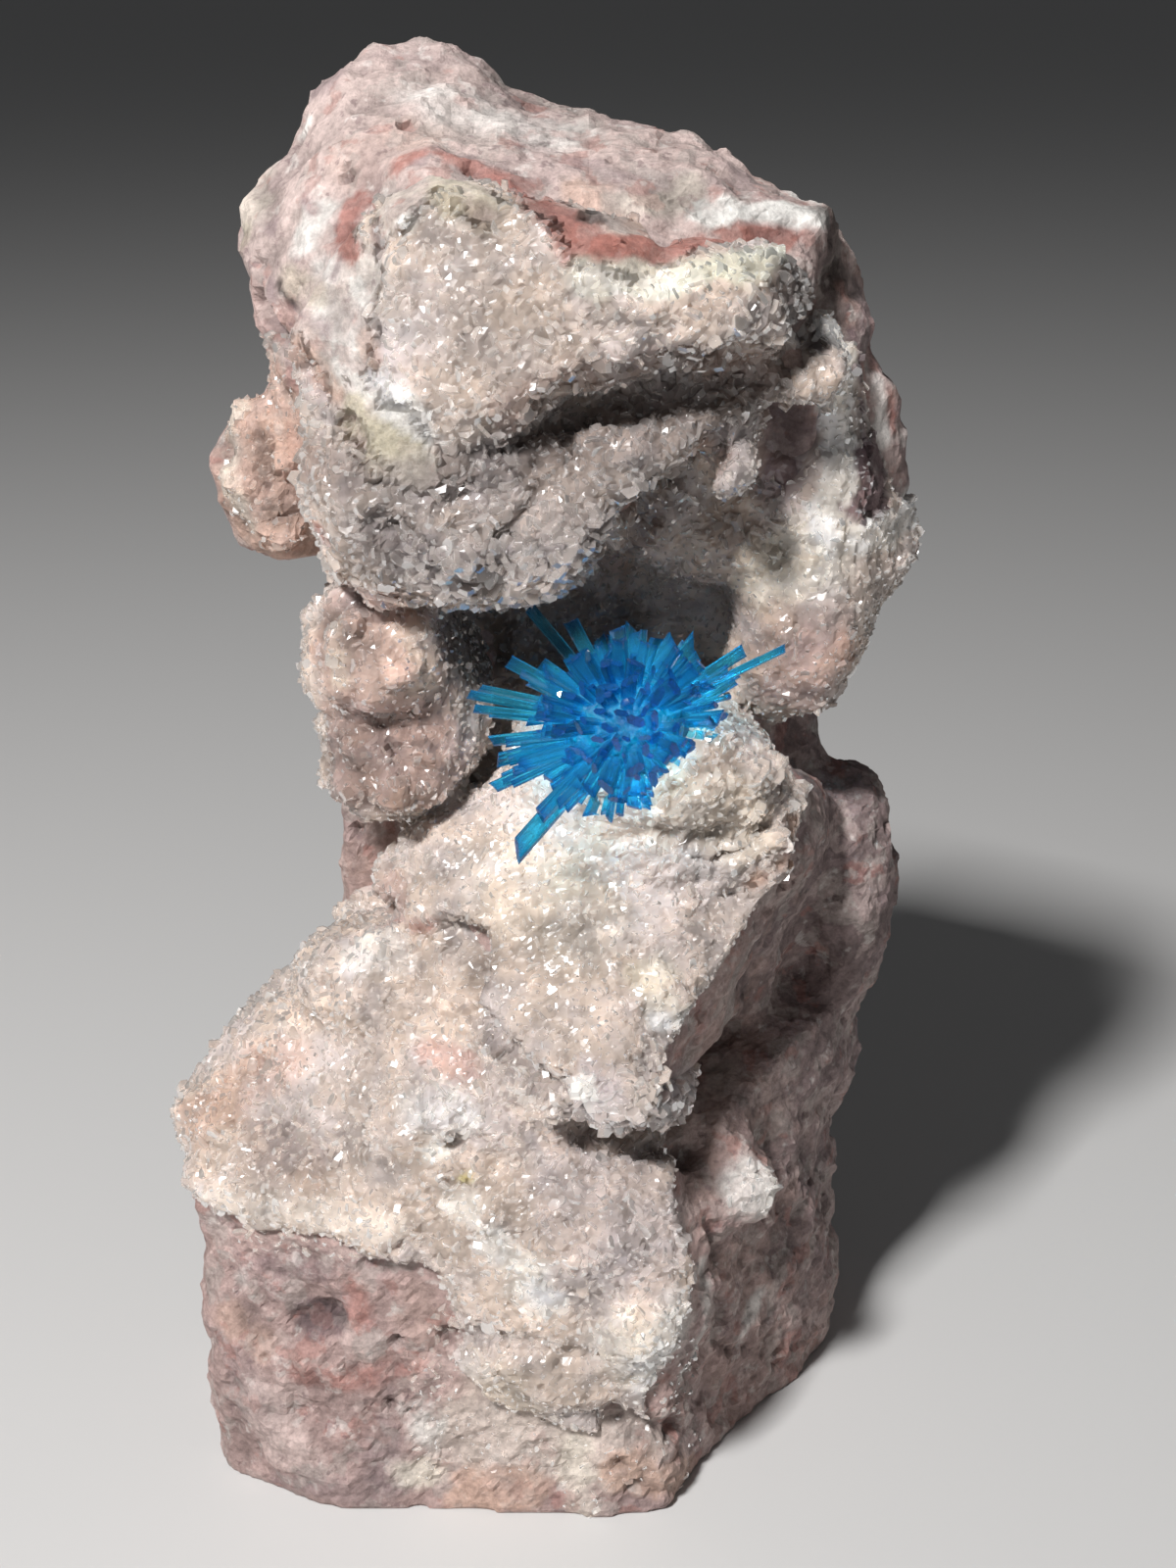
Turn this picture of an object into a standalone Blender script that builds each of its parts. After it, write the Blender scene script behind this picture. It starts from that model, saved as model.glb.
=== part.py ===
"""A pentagonite specimen: a blue spray of bladed crystals in the hollow of a tall piece of volcanic rock.

Three pieces make it up. The rock stands on its flat broken foot. A crust of small zeolite crystals
coats its front, and the spray grows from the crust in the hollow between the rock's head and chest.
Lengths below are in millimetres, with x to the right, y away from the viewer and z up from the foot.
"""

import math
import random

import bmesh
import bpy
from mathutils import Euler, Matrix, Vector, noise
from mathutils.bvhtree import BVHTree

MM = 0.001

# Driving sizes of the rock, which stands about 92 mm tall, and how far its surface is smoothed
VOXEL = 0.8
ROCK_TRIANGLES = 4700
BARE_ROUNDS = 4
COATED_ROUNDS = 16
COATED_ROUGHNESS = 0.6

# The broken surface's swells, facets and chips, each as its size and its height
SWELL = (11.0, 1.0)
FACET = (7.5, 1.4)
CHIP = (3.2, 0.4)
FACET_MIDDLE = 0.35

# Driving sizes of the crust, which ends thin below and in a broken edge at its full thickness above
CRUST_MOST = 2.7
CRUST_LEAST = 0.6
CRUST_SLOPE = 0.35
BROKEN_EDGE_FROM = 77.0
CRUST_FOOT = 2.0
GAP = 0.3
# The crust's nodules: their size, and how much thinner it is between them
NODULE_SIZE = 4.5
NODULE_RISE = 1.2
NODULE_DIP = 0.5
GRAIN_SIZE = 1.7
GRAIN_RISE = 0.2
# The most of the room between two walls that the crust on each may take, how it is thinned in
# creases, and how many times its edge and its thickness are evened out
ROOM_SHARE = 0.38
EASING = 0.8
EASING_ROUNDS = 12
EDGE_ROUNDS = 4
SLOPE_ROUNDS = 6

# Driving sizes of the spray
SPRAY_CENTRE = Vector((9.4, -7.2, 53.2))
SPRAY_CORE = (5.0, 4.3, 4.3)
SPRAY_SEED = 5
SEAT_GAP = 1.2 * GAP
SHORT_BLADES = 46
SHORT_REACH = (5.5, 7.0)
SHORT_WIDTH = (1.1, 1.7)
SHORT_TURN = 1.2
SHORT_SIDES = 4
BACKMOST_AIM = -0.25
AIM_JITTER = 0.2
LONG_TURN = 0.5
LONG_SIDES = 6
BLADE_FLATNESS = 0.5
BLADE_ROOT = 0.7
CHISEL = 0.8

# Base colours of the three pieces, as linear red, green and blue
ROCK_COLOUR = (0.34, 0.21, 0.18)
CRUST_COLOUR = (0.62, 0.54, 0.46)
SPRAY_COLOUR = (0.0, 0.22, 0.55)

# The spray's blades are set out as the viewer sees them, from 20.4 degrees above the level
VIEW_TILT = math.radians(20.4)
ACROSS = Vector((1, 0, 0))
UPWARD = Vector((0, math.sin(VIEW_TILT), math.cos(VIEW_TILT)))
TOWARD = Vector((0, -math.cos(VIEW_TILT), math.sin(VIEW_TILT)))

# The rock's angular masses, as the corners of convex chunks
HEAD = [
    (-6, -4, 64), (2, -3.5, 64), (12, -2.5, 66), (20, 0, 62), (24, 10, 58), (-9, 4, 62), (-9, 14, 62),
    (16, 18, 60), (-10, -6, 72), (-13, -2, 76), (-14, 4, 80), (-12, 9, 76), (-8, 17, 74), (18, 19, 72),
    (25, 8, 74), (-7, -7, 82), (-2, -7.5, 84.5), (7, -6.5, 81.5), (13, -5.5, 81), (20, -4, 80),
    (21.5, -2, 84), (22, 5, 82), (-14, 0, 82), (-13.5, 5, 85), (-9.5, 7, 91), (-4, 9, 92),
    (5, 10, 89.5), (10, 9, 88), (14, 6, 84.5), (0, 17, 86),
]
# The slab along the head's front, which hangs over the recess below it
SLAB = [
    (-7, -8, 82), (-2, -10.5, 84.5), (7, -10.8, 81.5), (13, -9.5, 81), (20, -6, 80), (-10, -6, 72),
    (-6, -8.5, 70), (-2, -9.8, 71), (2, -10.8, 73.6), (6, -10.8, 75.6), (12, -10.2, 76.8), (18, -8, 77),
    (20.5, -4, 77.5), (-9, 2, 72), (2, 0, 76), (12, 0, 78), (19, 2, 78), (19, 2, 81), (0, 2, 86),
    (-9, 2, 85),
]
FOOT = [
    (-17, -10, -3), (-11, -13.5, -3), (12, -14, -3), (18, -5, -3), (24, 6, -3), (23, 15, -3),
    (6, 19, -3), (-12, 17, -3), (-18, 7, -3), (-18, -4, -3), (-19.5, -8, 22), (-11, -12, 21),
    (0, -13, 20), (13, -12.5, 8), (13, -12, 24), (26, 8, 14), (27, 12, 30), (20, 18, 30),
    (-10, 17, 30), (-18, 5, 24),
]
SHOULDER = [
    (-19, -3, 24.5), (-18, -7, 21), (-11, -11, 20), (0, -12, 20), (-14, -1, 28.5), (-8, -2, 35),
    (-4, -7, 36), (1, -12, 30), (8, -11, 24), (4, 2, 38), (-8, 12, 36), (-16, 6, 24), (8, 8, 20),
]
CHEST = [
    (0, -10, 38), (-6, -3, 42), (-2, -5, 45.5), (8, -5, 49), (21, -0.5, 48), (20, -4.5, 43),
    (4, -13.5, 34), (12, -13, 32), (3, -11, 30), (12, -10, 28.5), (25, 8, 42), (24, 14, 30),
    (0, 8, 46), (0, 6, 30),
]
BACK = [
    (-10, 3, 36), (-9, 6, 66), (-8, 16, 66), (-11, 17, 18), (4, 19, 70), (18, 18, 66), (24, 12, 56),
    (25, 10, 40), (21, 17, 20), (8, 20, 24), (4, 5, 68), (16, 6, 66), (20, 6, 48), (2, 6, 44),
]
RIGHT_WALL = [
    (22, -1, 78), (24, 2, 77), (26.6, 4, 70), (27.3, 5, 65), (26, 5, 59), (24, 2, 52), (22, 0, 51),
    (17, 1, 52), (17, 4, 60), (20, 10, 76), (24, 12, 56), (21, 1, 70),
]

# Rounded lumps, each with its centre, its radii along its own axes, and its turn in degrees
LUMPS = [
    ((1.0, -4.0, 66.6), (7.2, 5.4, 5.2), (0, -14, 0)),
    ((-4.8, -5.5, 69.0), (4.6, 4.6, 7.0), (0, 8, 0)),
    ((-12.4, 2.5, 66.8), (4.0, 4.6, 5.6), (0, 10, 0)),
    ((-5.4, -2.0, 56.6), (4.5, 4.8, 4.4), (0, 0, 0)),
    ((-4.0, -0.6, 53.2), (4.6, 4.8, 6.2), (0, 0, 0)),
    ((-5.0, -1.5, 49.8), (4.3, 5.0, 3.7), (0, 0, 0)),
    ((17.0, -5.5, 21.0), (3.0, 3.2, 3.6), (0, 0, 0)),
    ((5.0, -10.8, 21.5), (6.5, 3.6, 4.6), (0, 8, 0)),
    ((10.2, -10.6, 14.0), (4.2, 3.6, 4.6), (0, 0, 0)),
    ((2.0, -11.0, 11.0), (5.5, 3.0, 5.0), (0, 0, 0)),
    ((8.0, -11.8, 32.5), (4.6, 3.0, 2.4), (0, 6, 0)),
    ((-4.5, -5.0, 35.0), (6.4, 3.8, 2.8), (0, 0, 0)),
    ((-3.0, -10.4, 27.0), (3.4, 2.6, 3.2), (0, 0, 0)),
    ((25.2, 10.5, 36.0), (3.8, 7.0, 9.0), (0, 0, 0)),
    ((-18.2, -3.0, 23.5), (1.8, 3.5, 2.6), (0, 0, 0)),
]
HOLLOWS = [
    ((8.0, -2.0, 57.6), (9.6, 9.0, 6.2), (0, -6, 0)),
    ((15.0, -6.6, 65.6), (6.2, 8.2, 6.4), (0, 12, 0)),
    ((18.6, -7.0, 70.0), (1.9, 7.0, 4.6), (0, 0, 0)),
    ((10.5, -9.5, 74.0), (8.5, 5.0, 2.2), (0, -10, 0)),
    ((22.4, -6.0, 77.6), (3.0, 6.0, 4.6), (0, 0, 0)),
    ((11.6, -13.5, 27.4), (7.0, 7.0, 2.5), (0, 14, 0)),
    ((14.8, -11.5, 25.4), (1.9, 5.0, 4.5), (0, 0, 0)),
    ((-2.0, -11.5, 39.5), (3.6, 5.0, 2.0), (0, 35, 0)),
    ((1.5, -15.5, 15.4), (4.5, 3.4, 0.9), (0, 5, 0)),
    ((11.0, -16.0, 7.6), (4.5, 3.6, 0.9), (0, -6, 0)),
    ((-9.0, -6.5, 61.2), (3.4, 5.0, 1.6), (0, -20, 0)),
    ((-11.5, -12.0, 7.0), (2.0, 1.6, 1.6), (0, 0, 0)),
    ((8.0, 0.5, 93.0), (9.0, 7.0, 4.2), (0, 10, 0)),
]
# The ledge and the knobs inside the hollows, and the mound that the spray grows on
KNOBS = [
    ((10.6, -4.4, 71.3), (7.2, 3.9, 1.7), (0, -24, 0)),
    ((15.2, -4.6, 69.0), (1.4, 3.0, 2.2), (0, 0, 0)),
    ((10.0, -3.6, 49.6), (7.6, 4.6, 3.8), (0, 0, 0)),
    ((19.6, -4.0, 74.4), (1.6, 2.4, 1.2), (0, 0, 0)),
]

# Where the crust lies, as centre, radii and thickness
COATED = [
    ((9.6, -8.0, 75.6), (11.0, 5.5, 4.0), 0.6),
    ((1.0, -14.0, 73.5), (15.0, 11.5, 13.5), 2.2),
    ((14.0, -13.0, 74.0), (10.0, 10.5, 9.5), 2.4),
    ((17.6, -2.0, 63.0), (8.4, 11.0, 15.0), 1.5),
    ((27.0, 2.0, 62.0), (4.0, 5.0, 3.2), 1.4),
    ((1.0, -2.0, 55.0), (14.0, 12.0, 12.0), 1.1),
    ((11.0, -9.0, 42.0), (15.0, 12.0, 13.0), 1.9),
    ((-5.0, -9.0, 32.0), (21.0, 14.0, 13.5), 1.8),
    ((6.5, -15.0, 18.0), (9.0, 8.0, 11.0), 1.9),
    ((-4.0, -5.0, 41.0), (8.5, 8.0, 6.5), 1.2),
]
# The broken right flank has no crust: below this height, faces that lean this far to the right are bare
FLANK_TOP = 50.0
FLANK_LEAN = 0.62

# The blades that stand out from the spray: how far each tip lies across, up and toward the viewer
# from the spray's centre, and the blade's width
LONG_BLADES = [
    (-7.0, -8.0, 3.2, 1.6),
    (-5.7, -5.4, 3.0, 1.3),
    (-8.3, -3.9, 1.8, 1.0),
    (-8.2, -2.2, 2.0, 1.3),
    (-8.5, -1.3, 0.8, 1.0),
    (-9.8, 1.9, 0.6, 1.1),
    (-7.3, 3.9, 1.0, 1.4),
    (-6.1, 7.4, -1.5, 1.0),
    (-3.5, 6.4, 0.6, 1.1),
    (0.3, 6.4, 0.2, 1.1),
    (4.5, 5.5, 0.0, 1.5),
    (7.2, 4.6, 0.8, 0.9),
    (9.7, 4.7, 1.2, 0.8),
    (5.8, 0.2, 1.2, 1.1),
    (0.4, -5.2, 2.2, 1.3),
]


def clear_scene():
    for obj in list(bpy.data.objects):
        bpy.data.objects.remove(obj)


def collection(name):
    made = bpy.data.collections.new(name)
    bpy.context.scene.collection.children.link(made)
    return made


def add_object(name, bm, home):
    """A new object in the collection home, from a bmesh measured in millimetres."""
    bmesh.ops.recalc_face_normals(bm, faces=bm.faces)
    mesh = bpy.data.meshes.new(name)
    obj = bpy.data.objects.new(name, mesh)
    home.objects.link(obj)
    store(bm, obj)
    return obj


def store(bm, obj):
    bmesh.ops.scale(bm, vec=(MM, MM, MM), verts=bm.verts)
    bm.to_mesh(obj.data)
    bm.free()


def bmesh_of(obj):
    """The object's mesh with its modifiers applied, as a bmesh in millimetres."""
    bpy.context.view_layer.update()
    graph = bpy.context.evaluated_depsgraph_get()
    bm = bmesh.new()
    bm.from_mesh(obj.evaluated_get(graph).to_mesh())
    bmesh.ops.scale(bm, vec=(1 / MM, 1 / MM, 1 / MM), verts=bm.verts)
    bm.normal_update()
    return bm


def bake(obj):
    """Applies every modifier of the object."""
    bpy.context.view_layer.update()
    graph = bpy.context.evaluated_depsgraph_get()
    mesh = bpy.data.meshes.new_from_object(obj.evaluated_get(graph))
    obj.modifiers.clear()
    obj.data = mesh


def even_out(obj):
    """Joins what overlaps in the object's mesh into one surface of even small faces."""
    even = obj.modifiers.new("even", "REMESH")
    even.mode = "VOXEL"
    even.voxel_size = VOXEL * MM
    bake(obj)


def cut_away(obj, cutter):
    cutter.hide_render = True
    cutter.display_type = "WIRE"
    cut = obj.modifiers.new("cut", "BOOLEAN")
    cut.operation = "DIFFERENCE"
    cut.object = cutter
    bake(obj)


def material(obj, name, colour, roughness, transmission=0.0):
    made = bpy.data.materials.new(name)
    made.use_nodes = True
    shader = made.node_tree.nodes["Principled BSDF"]
    shader.inputs["Base Color"].default_value = (*colour, 1)
    shader.inputs["Roughness"].default_value = roughness
    shader.inputs["Metallic"].default_value = 0.0
    shader.inputs["Transmission Weight"].default_value = transmission
    obj.data.materials.clear()
    obj.data.materials.append(made)


def add_lump(bm, centre, radii, turn=(0, 0, 0)):
    """A rounded lump, with its radii along its own axes and turn in degrees."""
    turned = Euler([math.radians(a) for a in turn]).to_matrix().to_4x4()
    place = Matrix.Translation(centre) @ turned @ Matrix.Diagonal((*radii, 1))
    bmesh.ops.create_icosphere(bm, subdivisions=3, radius=1, matrix=place)


def add_chunk(bm, corners):
    """An angular chunk: the convex hull of its corners."""
    made = [bm.verts.new(c) for c in corners]
    bmesh.ops.convex_hull(bm, input=made)


def rock_masses(parts, helpers):
    """The chunks and lumps of the rock, with its hollows cut out, as one even mesh."""
    bm = bmesh.new()
    for chunk in (HEAD, SLAB, FOOT, SHOULDER, CHEST, BACK, RIGHT_WALL):
        add_chunk(bm, chunk)
    for centre, radii, turn in LUMPS:
        add_lump(bm, centre, radii, turn)
    rock = add_object("matrix_rock", bm, parts)
    even_out(rock)

    bm = bmesh.new()
    for centre, radii, turn in HOLLOWS:
        add_lump(bm, centre, radii, turn)
    hollows = add_object("hollows", bm, helpers)
    even_out(hollows)
    cut_away(rock, hollows)

    bm = bmesh_of(rock)
    for centre, radii, turn in KNOBS:
        add_lump(bm, centre, radii, turn)
    store(bm, rock)
    even_out(rock)
    return rock


def rough_offset(point):
    """How far the broken surface stands out at a point, from broad swells down to small chips."""
    swell = noise.noise(point / SWELL[0])
    facet = noise.voronoi(point / FACET[0])[0][0] - FACET_MIDDLE
    chip = noise.noise(point / CHIP[0])
    return SWELL[1] * swell + FACET[1] * facet + CHIP[1] * chip


def roughen(rock):
    """Rounds the joins between the masses, most of all under the crust, and breaks up the surface."""
    coated = rock.vertex_groups.new(name="coated")
    coated.add([v.index for v in rock.data.vertices if thickness_at(v.co / MM)], 1, "REPLACE")
    for group, rounds in (("", BARE_ROUNDS), ("coated", COATED_ROUNDS)):
        soften = rock.modifiers.new("soften", "SMOOTH")
        soften.factor = 0.5
        soften.iterations = rounds
        soften.vertex_group = group
    bm = bmesh_of(rock)
    rock.modifiers.clear()
    moves = []
    for vert in bm.verts:
        share = COATED_ROUGHNESS if thickness_at(vert.co) else 1
        moves.append((vert, vert.normal * share * rough_offset(vert.co)))
    for vert, move in moves:
        vert.co += move
    store(bm, rock)


def thin_out(rock):
    """Fewer triangles, with the foot cut off flat at z = 0."""
    now = sum(len(p.vertices) - 2 for p in rock.data.polygons)
    fewer = rock.modifiers.new("fewer", "DECIMATE")
    fewer.ratio = ROCK_TRIANGLES / now
    bm = bmesh_of(rock)
    rock.modifiers.clear()
    cut = bmesh.ops.bisect_plane(
        bm, geom=bm.verts[:] + bm.edges[:] + bm.faces[:],
        plane_co=(0, 0, 0), plane_no=(0, 0, -1), clear_outer=True,
    )
    rim = [e for e in cut["geom_cut"] if isinstance(e, bmesh.types.BMEdge)]
    bmesh.ops.holes_fill(bm, edges=rim)
    bmesh.ops.triangulate(bm, faces=bm.faces)
    store(bm, rock)


def thickness_at(point):
    """The crust's thickness at a point of the rock, or none where the rock is bare."""
    found = []
    for centre, radii, thick in COATED:
        away = sum(((p - c) / r) ** 2 for p, c, r in zip(point, centre, radii))
        if away < 1:
            found.append((thick, 1 - away))
    if not found:
        return None
    share = sum(weight for _, weight in found)
    return sum(thick * weight for thick, weight in found) / share


def is_coated(face):
    centre = face.calc_center_median()
    flank = centre.z < FLANK_TOP and face.normal.x > FLANK_LEAN
    return thickness_at(centre) is not None and not flank and centre.z > CRUST_FOOT


def neighbours(face):
    return [other for edge in face.edges for other in edge.link_faces if other is not face]


def even_patch(coated):
    """Straightens the ragged edge of a set of faces by letting each face follow its neighbours."""
    for _ in range(EDGE_ROUNDS):
        near = coated | {other for face in coated for other in neighbours(face)}
        coated = {f for f in near if sum(other in coated for other in neighbours(f)) >= 2}
    return coated


def largest_patch(coated):
    left = set(coated)
    best = set()
    while left:
        grown = {left.pop()}
        front = list(grown)
        while front:
            for other in neighbours(front.pop()):
                if other in left:
                    left.remove(other)
                    grown.add(other)
                    front.append(other)
        if len(grown) > len(best):
            best = grown
    return best


def close_pinches(bm, coated):
    """Adds the faces round each vertex where the patch would touch itself at a point."""
    pinched = True
    while pinched:
        pinched = False
        for vert in bm.verts:
            rim = [e for e in vert.link_edges if sum(f in coated for f in e.link_faces) == 1]
            if len(rim) > 2:
                coated.update(vert.link_faces)
                pinched = True
    return coated


def crust_thickness(vert, tree):
    """The zone's thickness, swelling over each nodule and squeezed where a wall stands close."""
    if vert.is_boundary and vert.co.z < BROKEN_EDGE_FROM:
        return CRUST_LEAST
    thick = thickness_at(vert.co) or CRUST_LEAST
    nodule = noise.voronoi(vert.co / NODULE_SIZE)[0][0]
    grain = noise.noise(vert.co / GRAIN_SIZE)
    thick *= NODULE_RISE - NODULE_DIP * nodule + GRAIN_RISE * grain
    room = tree.ray_cast(vert.co + vert.normal * GAP, vert.normal)[3]
    if room is not None:
        thick = min(thick, ROOM_SHARE * room)
    return min(max(thick, CRUST_LEAST), CRUST_MOST)


def crust_patch(rock, parts):
    """The rock's coated faces, lifted off it by the gap, with the crust's thickness as weights."""
    bm = bmesh_of(rock)
    tree = BVHTree.FromBMesh(bm)
    coated = largest_patch(even_patch({f for f in bm.faces if is_coated(f)}))
    bare = largest_patch(set(bm.faces) - coated)
    coated = close_pinches(bm, set(bm.faces) - bare)
    bmesh.ops.delete(bm, geom=[f for f in bm.faces if f not in coated], context="FACES")

    weights = [crust_thickness(vert, tree) / CRUST_MOST for vert in bm.verts]
    for vert in bm.verts:
        vert.co += vert.normal * GAP
    crust = add_object("heulandite_crust", bm, parts)
    group = crust.vertex_groups.new(name="thickness")
    for index, weight in enumerate(weights):
        group.add([index], weight, "REPLACE")
    return crust


def thicken_crust(crust):
    shell = crust.modifiers.new("shell", "SOLIDIFY")
    shell.thickness = CRUST_MOST * MM
    shell.offset = 1
    shell.vertex_group = "thickness"


def even_thickness(crust):
    """Lets the thickness change by no more than the crust's slope from one vertex to the next."""
    group = crust.vertex_groups["thickness"]
    places = [v.co / MM for v in crust.data.vertices]
    weights = [group.weight(index) for index in range(len(places))]
    for _ in range(SLOPE_ROUNDS):
        for edge in crust.data.edges:
            a, b = edge.vertices
            step = CRUST_SLOPE * (places[a] - places[b]).length / CRUST_MOST
            weights[a] = min(weights[a], weights[b] + step)
            weights[b] = min(weights[b], weights[a] + step)
    for index, weight in enumerate(weights):
        group.add([index], weight, "REPLACE")


def ease_crossings(crust, rock):
    """Thins the crust in the creases where its outer face would cut through itself or the rock."""
    group = crust.vertex_groups["thickness"]
    solid = bmesh_of(rock)
    stone = BVHTree.FromBMesh(solid)
    solid.free()
    count = len(crust.data.vertices)
    for _ in range(EASING_ROUNDS):
        bm = bmesh_of(crust)
        bm.verts.ensure_lookup_table()
        bm.faces.ensure_lookup_table()
        shell = BVHTree.FromBMesh(bm)
        crossing = {face for pair in shell.overlap(stone) for face in pair[:1]}
        for first, second in shell.overlap(shell):
            shared = {v.index for v in bm.faces[first].verts} & {v.index for v in bm.faces[second].verts}
            if first != second and not shared:
                crossing.update((first, second))
        tight = {v.index % count for face in crossing for v in bm.faces[face].verts}
        bm.free()
        if not tight:
            break
        for index in tight:
            group.add([index], EASING * group.weight(index), "REPLACE")
        even_thickness(crust)


def add_blade(bm, tip, width, turn, sides):
    """A flat blade with a chisel tip, from the spray's centre out, facing the viewer at turn 0."""
    length = tip.length
    along = tip.normalized()
    wide = along.cross(TOWARD).normalized()
    facing = Matrix((wide, along.cross(wide), along)).transposed()
    place = facing.to_4x4() @ Matrix.Rotation(turn, 4, "Z")
    made = bmesh.ops.create_cone(
        bm, cap_ends=True, segments=sides,
        radius1=BLADE_ROOT * width / 2, radius2=width / 2, depth=length,
    )["verts"]
    for vert in made:
        vert.co.z += length / 2
        if vert.co.z > length / 2:
            vert.co.z -= CHISEL * abs(vert.co.x)
        vert.co.y *= BLADE_FLATNESS
    bmesh.ops.transform(bm, matrix=Matrix.Translation(SPRAY_CENTRE) @ place, verts=made)


def blade_tips(rng):
    """Each blade's tip from the spray's centre, its width, its turn and its sides."""
    for across, up, toward, width in LONG_BLADES:
        tip = across * ACROSS + up * UPWARD + toward * TOWARD
        yield tip, width, rng.uniform(-LONG_TURN, LONG_TURN), LONG_SIDES
    golden = math.pi * (3 - math.sqrt(5))
    for i in range(SHORT_BLADES):
        toward = 1 + (BACKMOST_AIM - 1) * (i + 0.5) / SHORT_BLADES
        ring = math.sqrt(1 - toward * toward)
        angle = i * golden + rng.uniform(-AIM_JITTER, AIM_JITTER)
        aim = math.cos(angle) * ring * ACROSS + math.sin(angle) * ring * UPWARD + toward * TOWARD
        tip = aim * rng.uniform(*SHORT_REACH)
        yield tip, rng.uniform(*SHORT_WIDTH), rng.uniform(-SHORT_TURN, SHORT_TURN), SHORT_SIDES


def spray_of_blades(parts, helpers):
    """The core of the spray with every blade joined to it."""
    rng = random.Random(SPRAY_SEED)
    bm = bmesh.new()
    place = Matrix.Translation(SPRAY_CENTRE) @ Matrix.Diagonal((*SPRAY_CORE, 1))
    bmesh.ops.create_icosphere(bm, subdivisions=2, radius=1, matrix=place)
    spray = add_object("pentagonite_spray", bm, parts)
    for index, (tip, width, turn, sides) in enumerate(blade_tips(rng)):
        bm = bmesh.new()
        add_blade(bm, tip, width, turn, sides)
        blade = add_object(f"blade_{index:02}", bm, helpers)
        blade.hide_render = True
        blade.display_type = "WIRE"
        join = spray.modifiers.new(blade.name, "BOOLEAN")
        join.operation = "UNION"
        join.object = blade
    bake(spray)
    return spray


def seat_spray(spray, crust, rock, helpers):
    """Cuts the spray's underside back to the gap above what it grows from."""
    for below in (crust, rock):
        bm = bmesh_of(below)
        for vert in bm.verts:
            vert.co += vert.normal * SEAT_GAP
        cut_away(spray, add_object(f"under_spray_{below.name}", bm, helpers))
    bm = bmesh_of(spray)
    spare = set(bm.faces) - largest_patch(set(bm.faces))
    bmesh.ops.delete(bm, geom=list(spare), context="FACES")
    bmesh.ops.triangulate(bm, faces=bm.faces)
    store(bm, spray)


def main():
    clear_scene()
    parts = collection("pentagonite_specimen")
    helpers = collection("cutters")

    rock = rock_masses(parts, helpers)
    roughen(rock)
    thin_out(rock)
    material(rock, "red_brown_volcanic_rock", ROCK_COLOUR, roughness=0.9)

    crust = crust_patch(rock, parts)
    even_thickness(crust)
    thicken_crust(crust)
    ease_crossings(crust, rock)
    bake(crust)
    material(crust, "beige_zeolite", CRUST_COLOUR, roughness=0.35)

    spray = spray_of_blades(parts, helpers)
    seat_spray(spray, crust, rock, helpers)
    material(spray, "blue_pentagonite", SPRAY_COLOUR, roughness=0.1, transmission=0.6)


main()
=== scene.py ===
"""The looks of the pentagonite specimen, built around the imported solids.

Fine broken rock, a crust of thousands of small zeolite plates and a spray of clear blue blades stand
for the three solids. Lengths here are in millimetres, with x to the right, y away from the viewer
and z up from the foot, and each mesh is stored in metres.
"""

import math

import bmesh
import bpy
import numpy as np
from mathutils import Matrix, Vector, noise
from mathutils.bvhtree import BVHTree


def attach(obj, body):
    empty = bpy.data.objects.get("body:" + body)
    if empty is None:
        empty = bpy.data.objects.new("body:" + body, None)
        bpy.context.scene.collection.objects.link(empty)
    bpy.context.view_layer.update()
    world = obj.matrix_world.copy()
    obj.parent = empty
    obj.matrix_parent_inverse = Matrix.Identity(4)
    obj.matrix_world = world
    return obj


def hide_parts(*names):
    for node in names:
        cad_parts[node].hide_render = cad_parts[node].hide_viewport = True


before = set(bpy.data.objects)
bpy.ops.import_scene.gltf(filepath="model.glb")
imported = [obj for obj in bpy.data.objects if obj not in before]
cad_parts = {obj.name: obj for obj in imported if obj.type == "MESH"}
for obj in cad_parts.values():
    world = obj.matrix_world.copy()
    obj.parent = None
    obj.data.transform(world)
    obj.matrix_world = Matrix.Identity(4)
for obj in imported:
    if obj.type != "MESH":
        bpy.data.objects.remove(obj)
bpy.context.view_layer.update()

MM = 0.001

# The camera stands where the photograph was taken from
EYE = Vector((7.0, -138.0, 98.0))
LOOK_DOWN = math.radians(20.4)
FOCAL_PIXELS = 2300
PHOTO_WIDTH = 1200
PHOTO_HEIGHT = 1600
SENSOR = 36.0
# How far from the camera the specimen may lie
REACHES = range(110, 175, 2)

# Driving sizes of the fine surfaces, and how far a stroke's edge wanders as a share of its width
FINE_VOXEL = 0.455
CRUST_VOXEL = 0.37
COVER_FROM = 0.55
WANDER = 0.6
WIDEST_WANDER = 1.4

# Driving sizes of the crust's plates: length, width and thickness, and how close they stand
PLATE_SPACING = 0.47
PLATE_LENGTH = (0.7, 1.15)
PLATE_WIDTH = (0.5, 0.95)
PLATE_THICKNESS = (0.16, 0.3)
PLATE_SWAY = 1.3
PLATES_ABOVE = 0.3
ROUNDING = 0.01
PLATE_SEED = 11

# Driving sizes of the spray, which grows from one centre
SPRAY_CENTRE = Vector((9.4, -7.2, 53.2))
CORE_RADII = (3.9, 3.4, 3.4)
SHORT_BLADES = 210
SHORT_REACH = (4.6, 6.2)
SPRAY_SEED = 4

# The viewer's own directions
ACROSS = Vector((1, 0, 0))
UPWARD = Vector((0, math.sin(LOOK_DOWN), math.cos(LOOK_DOWN)))
TOWARD = Vector((0, -math.cos(LOOK_DOWN), math.sin(LOOK_DOWN)))

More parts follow.
